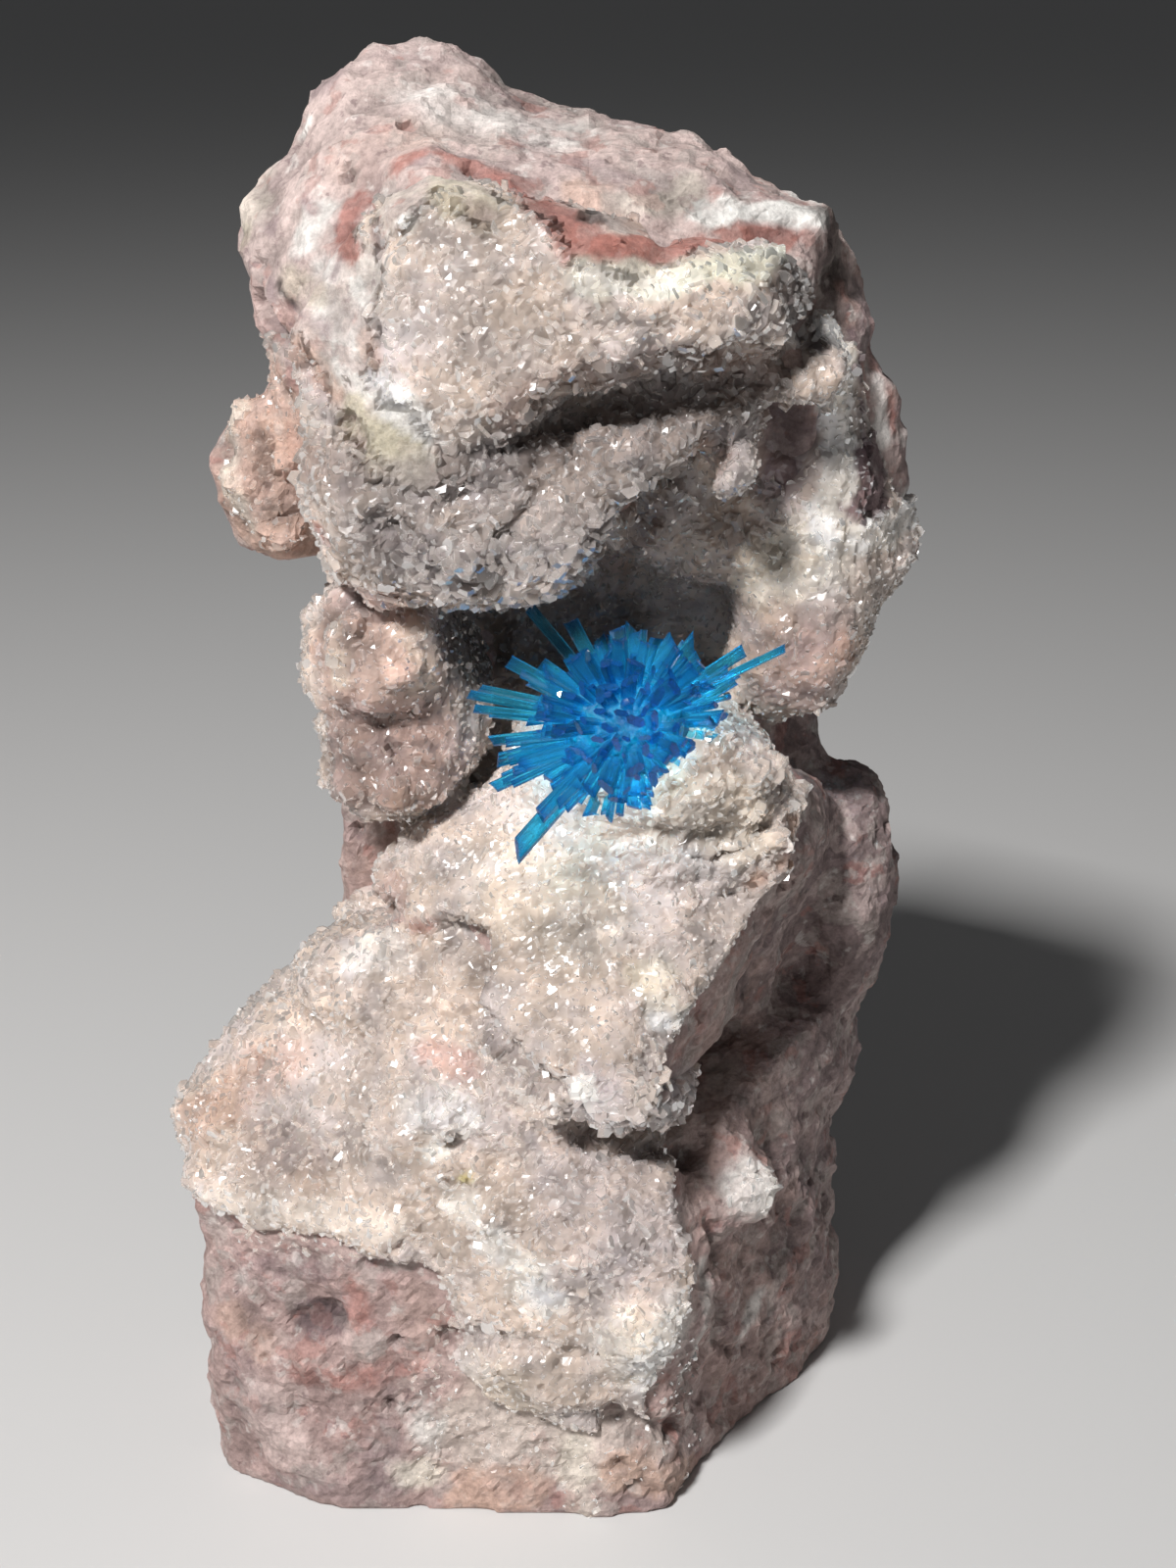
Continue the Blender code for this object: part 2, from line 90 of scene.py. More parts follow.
# The blades that stand out: how far each tip lies across, up and toward the viewer from the centre,
# its width, how obliquely its end is cut, and how many more blades lie beside it
LONG_BLADES = [
    (-7.0, -8.0, 3.2, 1.3, 0.8, 0),
    (-5.4, -5.6, 3.0, 1.0, 0.3, 3),
    (-8.3, -3.9, 1.8, 0.75, -0.4, 4),
    (-8.0, -2.2, 2.0, 0.9, 0.3, 4),
    (-8.5, -1.0, 0.8, 0.7, -0.5, 3),
    (-9.8, 1.9, 0.6, 0.6, 0.3, 1),
    (-9.4, 1.0, 0.9, 0.55, 0.2, 1),
    (-7.3, 3.9, 1.0, 0.85, 0.1, 1),
    (-6.1, 7.4, -1.5, 0.75, -0.2, 0),
    (-3.5, 6.4, 0.6, 0.95, 0.1, 2),
    (0.3, 6.4, 0.2, 0.8, 0.9, 4),
    (4.5, 5.5, 0.0, 1.1, 1.1, 4),
    (7.2, 4.6, 0.8, 0.8, 0.2, 3),
    (9.7, 4.7, 1.2, 0.5, 0.4, 1),
    (5.8, 0.2, 1.2, 0.8, 0.6, 2),
    (0.4, -5.2, 2.2, 0.9, 0.4, 3),
]

# Colours by their plain names, as linear red, green and blue
# Dark, brown, taupe, grey and purple are also used as painted shade, and white as painted light
COLOURS = {
    "beige": (0.60, 0.51, 0.45),
    "grey": (0.40, 0.35, 0.32),
    "lilac": (0.46, 0.41, 0.42),
    "white": (0.84, 0.81, 0.765),
    "cream": (0.74, 0.67, 0.57),
    "green": (0.60, 0.61, 0.52),
    "ochre": (0.56, 0.50, 0.38),
    "yellow": (0.68, 0.60, 0.26),
    "pale pink": (0.60, 0.475, 0.44),
    "pink": (0.55, 0.38, 0.33),
    "salmon": (0.54, 0.36, 0.28),
    "brown": (0.30, 0.21, 0.17),
    "taupe": (0.24, 0.20, 0.185),
    "rock": (0.44, 0.31, 0.285),
    "mauve": (0.31, 0.23, 0.23),
    "purple": (0.19, 0.125, 0.13),
    "red": (0.37, 0.15, 0.12),
    "dark": (0.05, 0.035, 0.03),
}


def points_of(mesh):
    """The mesh's vertices in millimetres, as rows."""
    flat = np.empty(len(mesh.vertices) * 3)
    mesh.vertices.foreach_get("co", flat)
    return flat.reshape(-1, 3) / MM


def normals_of(mesh):
    flat = np.empty(len(mesh.vertices) * 3)
    mesh.vertices.foreach_get("normal", flat)
    return flat.reshape(-1, 3)


def move_to(mesh, points):
    mesh.vertices.foreach_set("co", (points * MM).ravel())
    mesh.update()


def tree_of(mesh):
    points = [Vector(p) for p in points_of(mesh)]
    return BVHTree.FromPolygons(points, [tuple(f.vertices) for f in mesh.polygons])


def tree_of_solids(*names):
    """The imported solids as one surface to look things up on."""
    points = []
    faces = []
    for name in names:
        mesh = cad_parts[name].data
        faces += [tuple(v + len(points) for v in f.vertices) for f in mesh.polygons]
        points += [Vector(p) for p in points_of(mesh)]
    return BVHTree.FromPolygons(points, faces)


def add_piece(name, mesh, node):
    """A shown piece that rides on the specimen and stands for a solid of the frame."""
    piece = bpy.data.objects.new(name, mesh)
    bpy.context.scene.collection.objects.link(piece)
    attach(piece, "root")
    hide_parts(node)
    return piece


def mesh_from(name, points, faces):
    mesh = bpy.data.meshes.new(name)
    mesh.from_pydata((np.asarray(points) * MM).tolist(), [], faces)
    mesh.update()
    return mesh


def fine_mesh(mesh, voxel, rounds):
    """The mesh as one even surface of small faces, with its facets softened."""
    helper = bpy.data.objects.new("helper", mesh)
    bpy.context.scene.collection.objects.link(helper)
    even = helper.modifiers.new("even", "REMESH")
    even.mode = "VOXEL"
    even.voxel_size = voxel * MM
    soft = helper.modifiers.new("soft", "SMOOTH")
    soft.factor = 0.5
    soft.iterations = rounds
    bpy.context.view_layer.update()
    made = bpy.data.meshes.new_from_object(helper.evaluated_get(bpy.context.evaluated_depsgraph_get()))
    bpy.data.objects.remove(helper)
    made.materials.clear()
    return made


def paint(mesh, colours, coat, plain=0.0):
    """Stores each vertex's ground colour with how far the crust covers it, and how plain the colour is."""
    layer = mesh.color_attributes.new("ground", "FLOAT_COLOR", "POINT")
    rows = np.ones((len(colours), 4))
    rows[:, :3] = np.clip(colours, 0, 0.95)
    rows[:, 3] = coat
    layer.data.foreach_set("color", rows.ravel())
    share = mesh.attributes.new("plain", "FLOAT", "POINT")
    share.data.foreach_set("value", np.zeros(len(colours)) + plain)


# Broad colours that reach round the rock: name, centre, radii, strength and how far the edge fades
ROCK_ZONES = [
    ("brown", (14, 4, 50), (30, 14, 60), 0.35, 0.6),
    ("mauve", (26, 8, 40), (10, 16, 34), 0.75, 0.5),
    ("dark", (24, 4, 34), (7, 9, 20), 0.35, 0.6),
    ("pale pink", (-2, 3, 88), (24, 22, 13), 0.85, 0.5),
    # Painted shade in the notch under the head's right end
    ("dark", (22.5, -3, 79), (2.6, 4, 4), 0.6, 0.4),
]
# What the photograph shows on the specimen, as strokes of colour: name, half width in millimetres,
# strength, how far the edge fades in millimetres, and the photograph's pixels that the stroke joins
# Some strokes are painted shade in recesses, creases, channels and the hollow, and a few are painted light on shaded
# faces, as marked below
STROKES = [
    # The head's broken top
    ("mauve", 1.5, 0.7, 0.8, [(330, 84)]),
    ("cream", 1.6, 0.6, 1.0, [(262, 185), (250, 215)]),
    ("ochre", 0.9, 0.7, 0.5, [(243, 242)]),
    ("white", 0.7, 0.7, 0.5, [(312, 130)]),
    ("salmon", 2.2, 0.3, 1.6, [(375, 165), (425, 140)]),
    ("white", 2.0, 0.6, 1.4, [(440, 104), (510, 116), (575, 136)]),
    ("mauve", 0.5, 0.8, 0.4, [(425, 166), (450, 156), (480, 160)]),
    ("red", 0.6, 0.8, 0.4, [(405, 172), (440, 158), (480, 172), (520, 190), (560, 208), (592, 240)]),
    ("red", 1.5, 0.8, 0.6, [(520, 186), (560, 208), (592, 240), (612, 262)]),
    ("salmon", 1.6, 0.6, 0.8, [(600, 196), (640, 220)]),
    ("mauve", 0.8, 0.7, 0.6, [(590, 168), (625, 180)]),
    ("grey", 0.8, 0.7, 0.5, [(630, 205), (622, 220)]),
    ("cream", 1.2, 0.6, 0.8, [(650, 205), (700, 190)]),
    ("dark", 0.75, 0.8, 0.3, [(601, 221)]),
    ("dark", 0.3, 0.8, 0.2, [(551, 148)]),
    ("dark", 0.3, 0.7, 0.2, [(334, 181)]),
    ("dark", 0.3, 0.7, 0.2, [(685, 197)]),
    ("red", 1.2, 0.95, 0.3, [(606, 258), (640, 257), (685, 252), (720, 242), (780, 240), (800, 238)]),
    ("mauve", 1.2, 0.5, 0.8, [(740, 190), (770, 184)]),
    ("white", 0.9, 1.0, 0.25, [(718, 216), (760, 211), (800, 214), (842, 222)]),
    ("white", 0.5, 0.8, 0.3, [(816, 189), (834, 203)]),
    # The bare mottled rock on the head's left
    ("pale pink", 3.4, 0.6, 1.2, [(300, 240), (320, 300), (345, 360)]),
    ("white", 2.0, 0.35, 1.2, [(372, 270), (378, 320)]),
    ("white", 1.3, 0.8, 0.6, [(322, 222), (312, 245)]),
    ("white", 0.7, 0.9, 0.3, [(417, 228)]),
    ("white", 0.9, 0.7, 0.6, [(326, 268), (338, 282)]),
    ("white", 1.0, 0.7, 0.6, [(330, 318), (352, 345)]),
    ("white", 0.5, 0.9, 0.3, [(362, 292), (370, 308)]),
    ("mauve", 0.45, 0.8, 0.3, [(272, 285), (278, 302)]),
    ("purple", 0.35, 0.8, 0.3, [(298, 310), (304, 322)]),
    ("brown", 0.5, 0.7, 0.4, [(268, 322), (284, 345), (312, 372), (338, 398)]),
    ("white", 1.4, 0.7, 0.8, [(350, 372), (392, 402)]),
    ("white", 1.2, 0.9, 0.5, [(400, 420), (432, 440)]),
    ("red", 0.85, 0.9, 0.25, [(363, 207), (352, 232), (358, 255)]),
    ("mauve", 0.6, 0.8, 0.4, [(276, 230)]),
    ("mauve", 0.4, 0.8, 0.4, [(312, 205), (320, 216)]),
    ("mauve", 0.5, 0.7, 0.5, [(380, 232), (386, 256)]),
    ("mauve", 0.6, 0.6, 0.4, [(300, 270), (325, 290)]),
    ("grey", 0.7, 0.7, 0.4, [(340, 300), (352, 330)]),
    ("mauve", 0.45, 0.7, 0.4, [(330, 335), (312, 322)]),
    ("salmon", 0.5, 0.7, 0.4, [(372, 345), (384, 372)]),
    ("grey", 0.6, 0.7, 0.4, [(398, 290), (404, 320)]),
    ("mauve", 0.4, 0.7, 0.3, [(345, 268), (340, 282)]),
    ("ochre", 0.9, 0.5, 0.6, [(298, 285), (322, 300)]),
    ("dark", 0.3, 0.9, 0.2, [(286, 291), (290, 298)]),
    ("dark", 0.22, 0.9, 0.2, [(296, 308)]),
    ("salmon", 0.6, 0.7, 0.4, [(305, 352), (328, 380), (345, 402)]),
    ("grey", 1.6, 0.7, 0.6, [(278, 365), (296, 398)]),
    ("white", 0.55, 0.95, 0.2, [(301, 412)]),
    ("ochre", 1.3, 0.95, 0.3, [(362, 425), (388, 456), (425, 478)]),
    # The crust on the head
    ("ochre", 1.5, 0.75, 0.8, [(462, 190), (490, 205)]),
    ("brown", 0.8, 0.6, 0.6, [(492, 216)]),
    ("grey", 1.6, 0.35, 1.6, [(385, 318), (460, 345), (540, 340)]),
    ("green", 1.0, 0.75, 0.5, [(600, 283), (660, 285), (710, 278), (760, 272), (795, 258)]),
    ("cream", 0.7, 0.7, 0.5, [(586, 286), (640, 284), (690, 280)]),
    # The lobe under the slab: partly its own greyer crust, partly painted shade under the overhang. The taupe band
    # below the recess, the taupe in the crease, groove and filled slit, and the brown in the channel are painted shade
    ("grey", 5.0, 0.85, 2.0, [(430, 560), (520, 530), (600, 480), (700, 430)]),
    ("taupe", 2.6, 0.7, 1.8, [(540, 440), (600, 440), (700, 410), (770, 400)]),
    ("taupe", 1.8, 0.6, 1.4, [(390, 545), (410, 560)]),
    ("taupe", 2.0, 0.6, 1.6, [(690, 480), (620, 540), (600, 580)]),
    ("taupe", 5.0, 0.42, 2.0, [(430, 560), (530, 530), (610, 480)]),
    ("taupe", 1.4, 0.4, 1.2, [(440, 492), (500, 478), (545, 454)]),
    ("brown", 1.5, 0.75, 1.0, [(625, 580), (665, 520), (720, 470)]),
    ("brown", 1.3, 0.6, 0.9, [(288, 440), (310, 470), (350, 490)]),
    # Painted shadow at the slab's broken right end
    ("dark", 1.7, 0.85, 0.7, [(808, 290), (835, 325)]),
    ("dark", 1.5, 0.85, 0.6, [(850, 222), (852, 275)]),
    # Painted shade in the recess under the slab
    ("brown", 1.7, 0.75, 1.2, [(530, 418), (600, 392), (700, 378), (770, 372)]),
    ("grey", 2.2, 0.5, 1.5, [(350, 500), (400, 520)]),
    # The knobs on the left
    ("salmon", 5.0, 0.75, 1.6, [(275, 440), (290, 520)]),
    ("cream", 0.9, 0.7, 0.7, [(236, 420), (232, 480), (250, 535)]),
    ("brown", 1.0, 0.6, 0.8, [(285, 525), (310, 560)]),
    ("red", 0.9, 0.7, 0.6, [(326, 540)]),
    ("pink", 4.5, 0.65, 1.6, [(370, 660), (400, 700)]),
    ("taupe", 2.2, 0.5, 1.6, [(345, 640), (370, 715), (420, 735)]),
    ("cream", 1.3, 0.4, 1.0, [(432, 655), (440, 690)]),
    ("cream", 0.7, 0.5, 0.6, [(345, 640), (345, 690)]),
    ("pink", 4.0, 0.6, 1.2, [(370, 770), (420, 780)]),
    ("brown", 3.4, 0.65, 1.6, [(350, 785), (410, 795)]),
    ("brown", 1.7, 0.75, 1.0, [(370, 805), (410, 818), (440, 800)]),
    ("brown", 0.9, 0.5, 0.9, [(380, 735), (440, 735)]),
    # The hollow's walls
    # Painted shade on the hollow's back wall behind the spray
    ("dark", 3.0, 0.75, 2.0, [(480, 660), (540, 650), (620, 640)]),
    ("brown", 4.0, 0.3, 2.0, [(720, 570), (760, 620)]),
    ("cream", 2.4, 0.8, 1.4, [(790, 590), (850, 555)]),
    ("brown", 1.5, 0.6, 0.9, [(800, 635), (850, 640)]),
    ("brown", 2.4, 0.65, 1.2, [(790, 690), (850, 675)]),
    # Painted shade in the channel between the hanging knob and the wing
    ("purple", 1.9, 0.85, 1.2, [(800, 420), (803, 450), (795, 480)]),
    ("dark", 1.6, 0.6, 1.0, [(800, 425), (803, 450)]),
    ("pink", 2.2, 0.5, 1.2, [(810, 700), (840, 670)]),
    # The wing's cream band, painted whiter as painted light on its shaded face
    ("white", 1.4, 0.85, 0.4, [(846, 330), (860, 400), (862, 450), (860, 500), (850, 540)]),
    ("white", 0.7, 0.7, 0.35, [(888, 365), (900, 420), (900, 450)]),
    ("purple", 0.5, 0.95, 0.25, [(872, 340), (880, 380), (884, 425), (886, 460)]),
    ("red", 0.3, 0.8, 0.2, [(905, 400), (914, 440)]),
    ("purple", 1.6, 0.95, 0.3, [(890, 470), (894, 500), (884, 522)]),
    ("white", 1.2, 0.9, 0.4, [(875, 548), (912, 542), (934, 512)]),
    ("mauve", 1.6, 0.8, 0.8, [(878, 305), (890, 345)]),
    # The chest
    ("cream", 2.6, 0.5, 1.6, [(690, 825), (760, 835)]),
    ("white", 1.6, 0.4, 1.2, [(700, 870), (750, 870)]),
    ("cream", 3.0, 0.35, 2.0, [(520, 900), (600, 940)]),
    ("pink", 1.6, 0.55, 1.0, [(385, 880), (405, 915)]),
    ("white", 0.9, 0.4, 0.7, [(352, 930)]),
    ("red", 0.5, 0.6, 0.5, [(400, 942), (440, 946)]),
    ("salmon", 0.9, 0.85, 0.5, [(806, 846), (806, 872), (775, 892)]),
    ("cream", 1.5, 0.9, 0.8, [(668, 1000), (680, 1028)]),
    ("white", 0.6, 0.9, 0.3, [(670, 1042), (692, 1040)]),
    ("grey", 1.6, 0.5, 1.2, [(555, 1040), (610, 1060), (650, 1080)]),
    ("lilac", 2.0, 0.6, 1.2, [(600, 1120), (700, 1120)]),
    ("white", 0.8, 0.95, 0.4, [(590, 1112), (602, 1122)]),
    ("grey", 1.4, 0.7, 0.8, [(762, 975), (745, 1040), (735, 1100)]),
    # Painted shade along the creases between shoulder and chest and under the chest's lip
    ("taupe", 0.9, 0.7, 0.8, [(456, 950), (480, 964), (484, 1000), (476, 1030), (500, 1052), (538, 1098)]),
    ("taupe", 1.0, 0.75, 0.8, [(538, 1098), (566, 1112), (578, 1136), (600, 1160), (650, 1172), (700, 1178)]),
    # The shoulder
    ("white", 1.6, 0.5, 1.2, [(378, 972), (395, 965)]),
    ("salmon", 1.8, 0.5, 1.4, [(205, 1140), (250, 1100), (290, 1085)]),
    ("pink", 1.0, 0.75, 0.6, [(440, 1072), (470, 1090)]),
    ("white", 1.7, 0.6, 1.2, [(440, 1132), (458, 1140)]),
    ("white", 0.6, 0.95, 0.2, [(440, 1178), (452, 1170)]),
    ("salmon", 2.0, 0.25, 1.6, [(270, 1165), (310, 1185)]),
    ("yellow", 0.5, 0.8, 0.4, [(474, 1204)]),
    ("white", 1.1, 0.7, 0.6, [(470, 1225), (480, 1238)]),
    ("white", 1.0, 0.35, 1.0, [(215, 1225), (300, 1240), (400, 1252)]),
    # The lower crust
    ("white", 1.2, 0.8, 0.9, [(504, 1268), (518, 1284)]),
    ("white", 1.4, 0.8, 0.9, [(538, 1306), (556, 1326)]),
    ("lilac", 4.0, 0.45, 2.0, [(600, 1215), (660, 1260)]),
    ("cream", 2.2, 0.6, 1.4, [(640, 1370), (660, 1400)]),
    ("white", 0.7, 0.7, 0.5, [(718, 1290), (722, 1350), (700, 1400)]),
    # A whitish lump, its white raised as painted light on its shaded side
    ("white", 2.4, 0.75, 1.8, [(690, 1360), (672, 1395)]),
    ("brown", 1.2, 0.35, 1.0, [(425, 1320), (432, 1365)]),
    ("grey", 1.5, 0.4, 1.2, [(560, 1395), (580, 1400)]),
    ("cream", 2.4, 0.45, 1.4, [(500, 1420), (560, 1470)]),
    ("beige", 2.8, 0.8, 1.0, [(470, 1462), (560, 1475), (640, 1480)]),
    # The bare foot
    ("purple", 0.9, 0.6, 0.6, [(278, 1290), (300, 1300), (330, 1300)]),
    ("white", 0.7, 0.5, 0.5, [(245, 1305)]),
    ("purple", 1.2, 0.85, 0.5, [(312, 1345), (338, 1345)]),
    ("red", 0.8, 0.6, 0.5, [(360, 1308), (366, 1340)]),
    ("red", 0.9, 0.6, 0.6, [(305, 1402), (345, 1412), (380, 1400), (425, 1388)]),
    ("red", 0.7, 0.6, 0.5, [(375, 1446)]),
    ("salmon", 1.2, 0.5, 0.8, [(232, 1345), (262, 1370)]),
    ("pale pink", 2.0, 0.6, 1.2, [(255, 1430), (285, 1470)]),
    ("white", 0.5, 0.8, 0.3, [(300, 1434)]),
    ("mauve", 1.6, 0.7, 1.0, [(385, 1475), (400, 1505)]),
    ("mauve", 1.2, 0.5, 0.9, [(320, 1515), (380, 1530)]),
    ("white", 0.9, 0.7, 0.6, [(432, 1438), (440, 1470)]),
    ("cream", 1.2, 0.8, 0.6, [(420, 1500), (440, 1502)]),
    ("salmon", 1.6, 0.8, 0.5, [(480, 1522), (540, 1516)]),
    ("salmon", 1.8, 0.8, 0.5, [(645, 1500), (700, 1510)]),
    ("cream", 1.1, 0.6, 0.5, [(585, 1480), (590, 1540)]),
    # Knobs on the dark right side
    ("white", 1.7, 0.8, 0.9, [(765, 1205), (775, 1225)]),
    ("pink", 1.2, 0.6, 0.8, [(745, 1275)]),
    ("white", 0.6, 0.7, 0.5, [(778, 1320), (757, 1360)]),
]
# Where the crust's ground shows as bare broken rock, with no plates: half width and pixels
BARE = [
    (3.0, [(300, 180), (318, 240), (330, 300)]),
    (1.3, [(368, 215), (370, 270), (360, 330)]),
    (1.5, [(335, 350), (355, 375)]),
    (1.6, [(398, 215), (425, 185)]),
    (1.9, [(362, 415), (395, 450), (420, 475)]),
    (1.2, [(470, 185), (495, 205)]),
    (1.5, [(560, 205), (600, 235)]),
    (1.7, [(600, 232), (650, 240), (720, 228), (800, 222)]),
    (0.8, [(606, 258), (640, 262), (685, 258), (720, 246), (780, 246)]),
    (0.8, [(896, 455), (900, 500), (885, 522)]),
    (0.7, [(806, 846), (800, 872), (775, 892)]),
    (0.9, [(750, 1000), (740, 1060), (735, 1110)]),
    (1.6, [(480, 1525), (540, 1520)]),
    (1.8, [(645, 1505), (700, 1515)]),
    (1.3, [(420, 1360), (420, 1440), (430, 1500)]),
]
# Where small plates also stand on the bare rock: half width and pixels
DUSTED = [
    (2.6, [(470, 1462), (560, 1475), (640, 1480)]),
    (1.2, [(585, 1480), (592, 1550)]),
    (1.0, [(430, 1390), (432, 1500)]),
    (0.7, [(710, 1470), (712, 1530)]),
    (2.0, [(278, 365), (296, 398)]),
    (2.4, [(655, 1390), (700, 1405)]),
    (4.0, [(262, 430), (285, 500)]),
    (1.6, [(772, 1215)]),
    (2.4, [(380, 250), (378, 310), (370, 370), (384, 412)]),
    (0.9, [(250, 1262), (330, 1268), (410, 1275)]),
    (1.2, [(458, 1310), (458, 1380), (445, 1450)]),
]
# Creases and pits that are pressed into the surface, and lumps with a depth below zero: depth, half
# width and pixels
CREASES = [
    (1.8, 1.6, [(456, 950), (480, 964), (482, 988)]),
    (1.3, 1.2, [(482, 988), (476, 1030), (500, 1052), (538, 1098)]),
    (1.5, 1.4, [(538, 1098), (566, 1112), (578, 1136), (600, 1160)]),
    (-0.5, 2.4, [(690, 830), (745, 838), (790, 842)]),
    (-1.5, 2.2, [(660, 872), (705, 884), (750, 878), (785, 862)]),
    (-1.8, 2.0, [(672, 858), (720, 862), (752, 856)]),
    (-1.0, 2.6, [(385, 968)]),
    (-1.3, 2.0, [(452, 1140)]),
    (-1.0, 2.2, [(392, 900)]),
    (0.9, 1.3, [(368, 958)]),
    (0.8, 1.4, [(328, 1008)]),
    (-0.8, 2.0, [(300, 1062)]),
    (0.8, 1.3, [(262, 1085)]),
    (-0.9, 2.2, [(215, 1150)]),
    (-1.0, 2.2, [(672, 1014)]),
    (-0.9, 2.4, [(505, 1070)]),
    (-0.8, 2.0, [(640, 1120), (700, 1130)]),
    (-0.8, 2.0, [(500, 1240)]),
    (1.2, 1.3, [(600, 1160), (650, 1172), (700, 1178)]),
    (0.5, 1.0, [(460, 1164), (490, 1166), (506, 1182)]),
    (0.8, 1.5, [(462, 1364), (500, 1368), (550, 1382), (592, 1392)]),
    (0.9, 1.5, [(620, 1444), (650, 1455), (690, 1456)]),
    (0.8, 1.5, [(312, 1345), (338, 1345)]),
    (0.5, 0.7, [(372, 1292), (410, 1270)]),
    (0.6, 0.8, [(601, 221)]),
    (1.0, 0.8, [(352, 432), (372, 462), (396, 484)]),
    (0.8, 0.8, [(264, 305), (286, 342), (318, 376)]),
    (1.2, 1.4, [(390, 540), (410, 548)]),
    (0.9, 1.1, [(520, 545), (540, 520), (556, 500)]),
    (0.8, 2.4, [(600, 434), (640, 422), (700, 404), (765, 394)]),
    (1.2, 1.9, [(560, 416), (615, 392), (700, 374), (765, 366)]),
    (1.1, 1.6, [(600, 590), (625, 545), (690, 490)]),
    (-0.9, 1.6, [(450, 484), (500, 474), (560, 458), (612, 446)]),
    (1.4, 1.7, [(640, 560), (680, 505), (735, 458)]),
    (-0.9, 1.5, [(244, 415)]),
    (0.7, 1.5, [(228, 455)]),
    (-0.8, 1.5, [(240, 495)]),
    (-0.7, 1.6, [(292, 470)]),
    (0.7, 1.2, [(262, 448), (272, 492)]),
    (-0.7, 1.4, [(290, 545)]),
    (-0.8, 1.6, [(348, 640)]),
    (-0.8, 1.5, [(412, 688)]),
    (-0.3, 1.4, [(432, 636)]),
    (0.6, 1.2, [(384, 632), (372, 690)]),
    (-0.8, 1.5, [(362, 768)]),
    (-0.9, 1.5, [(400, 812)]),
    (0.7, 1.2, [(402, 768), (430, 790)]),
    (-0.9, 2.6, [(470, 560)]),
    (-0.8, 2.2, [(570, 560)]),
    (0.5, 1.2, [(380, 738), (430, 738)]),
    (0.7, 0.9, [(722, 1250), (735, 1300), (738, 1350)]),
]
# Where the rock is raised to meet the broken edge of the crust, as creases with a depth below zero
FILLS = [
    (-1.7, 2.4, [(382, 250), (383, 290), (376, 335), (372, 385), (382, 412), (402, 424)]),
]
# The rock's patches of other colours, from broad to fine: size, the noise levels they start and end at,
# colour and strength
MOTTLES = [
    (5.0, 0.50, 0.56, "mauve", 0.35),
    (3.0, 0.53, 0.56, "pale pink", 0.4),
    (2.4, 0.55, 0.59, "grey", 0.45),
    (2.6, 0.58, 0.62, "red", 0.4),
    (1.4, 0.60, 0.66, "white", 0.3),
    (0.8, 0.62, 0.66, "purple", 0.5),
]


def seen(pixel):
    """Where a pixel of the photograph falls on the solids, or beside them on their nearest edge."""
    across = pixel[0] - PHOTO_WIDTH / 2
    up = PHOTO_HEIGHT / 2 - pixel[1]
    aim = (ACROSS * across + UPWARD * up - TOWARD * FOCAL_PIXELS).normalized()
    place = SOLIDS.ray_cast(EYE, aim)[0]
    if place is None:
        along = [SOLIDS.find_nearest(EYE + aim * reach) for reach in REACHES]
        place = min(along, key=lambda near: near[3])[0]
    return np.array(place)


def wandering(points):
    """Noise that makes the edge of a patch of colour wander."""
    return np.array([noise.noise(Vector(p) / 1.9) + 0.6 * noise.noise(Vector(p) / 0.7) for p in points])


def away_from(points, pixels):
    """How far each point lies from the path through the pixels, in millimetres."""
    path = [seen(pixel) for pixel in pixels]
    path = path * 2 if len(path) == 1 else path
    away = np.full(len(points), np.inf)
    for start, end in zip(path, path[1:]):
        step = end - start
        share = np.clip((points - start) @ step / max(step @ step, 1e-9), 0, 1)
        away = np.minimum(away, np.linalg.norm(points - start - share[:, None] * step, axis=1))
    return away


def stroke_share(points, wander, width, fade, pixels):
    """How far a stroke covers each point, from 0 to 1."""
    ragged = WANDER * min(width, WIDEST_WANDER) * wander
    return np.clip((width - away_from(points, pixels) + ragged) / fade + 0.5, 0, 1)


def zone_colours(points, start, zones):
    """The colour at each point, with the zones and then the strokes blended in, and how plain it is."""
    colours = np.tile(COLOURS[start], (len(points), 1))
    plain = np.zeros(len(points))
    wander = wandering(points)
    for name, centre, radii, strength, blur in zones:
        away = np.sqrt((((points - centre) / radii) ** 2).sum(axis=1))
        share = strength * np.clip((1 - away + WANDER * wander) / blur + 0.5, 0, 1)
        colours += share[:, None] * (np.array(COLOURS[name]) - colours)
    for name, width, strength, fade, pixels in STROKES:
        share = strength * stroke_share(points, wander, width, fade, pixels)
        colours += share[:, None] * (np.array(COLOURS[name]) - colours)
        plain = np.maximum(plain, share)
    return colours, plain


def coat_share(points):
    """How far the crust covers each point: none on the bare patches."""
    wander = wandering(points)
    coat = np.ones(len(points))
    for width, pixels in BARE:
        coat *= 1 - stroke_share(points, wander, width, 0.4, pixels)
    return coat


def creases(points, marks):
    """How deep the creases and pits are at each point, and less than nothing on a raised lump."""
    depth = np.zeros(len(points))
    ragged = 0.45 * wandering(points)
    for deep, width, pixels in marks:
        away = np.clip(away_from(points, pixels) / width + ragged, 0, 1)
        press = deep * (1 - away ** 2) ** 2
        depth = np.where(np.abs(press) > np.abs(depth), press, depth)
    return depth


def chips(point, size):
    """A surface broken into flat chips of about the given size, each with its own tilt."""
    spot = point / size
    near = noise.voronoi(spot)[1][0]
    tilt = noise.cell_vector(near)
    return size * (0.5 * (spot - near).dot(tilt) + 0.12 * tilt.x)


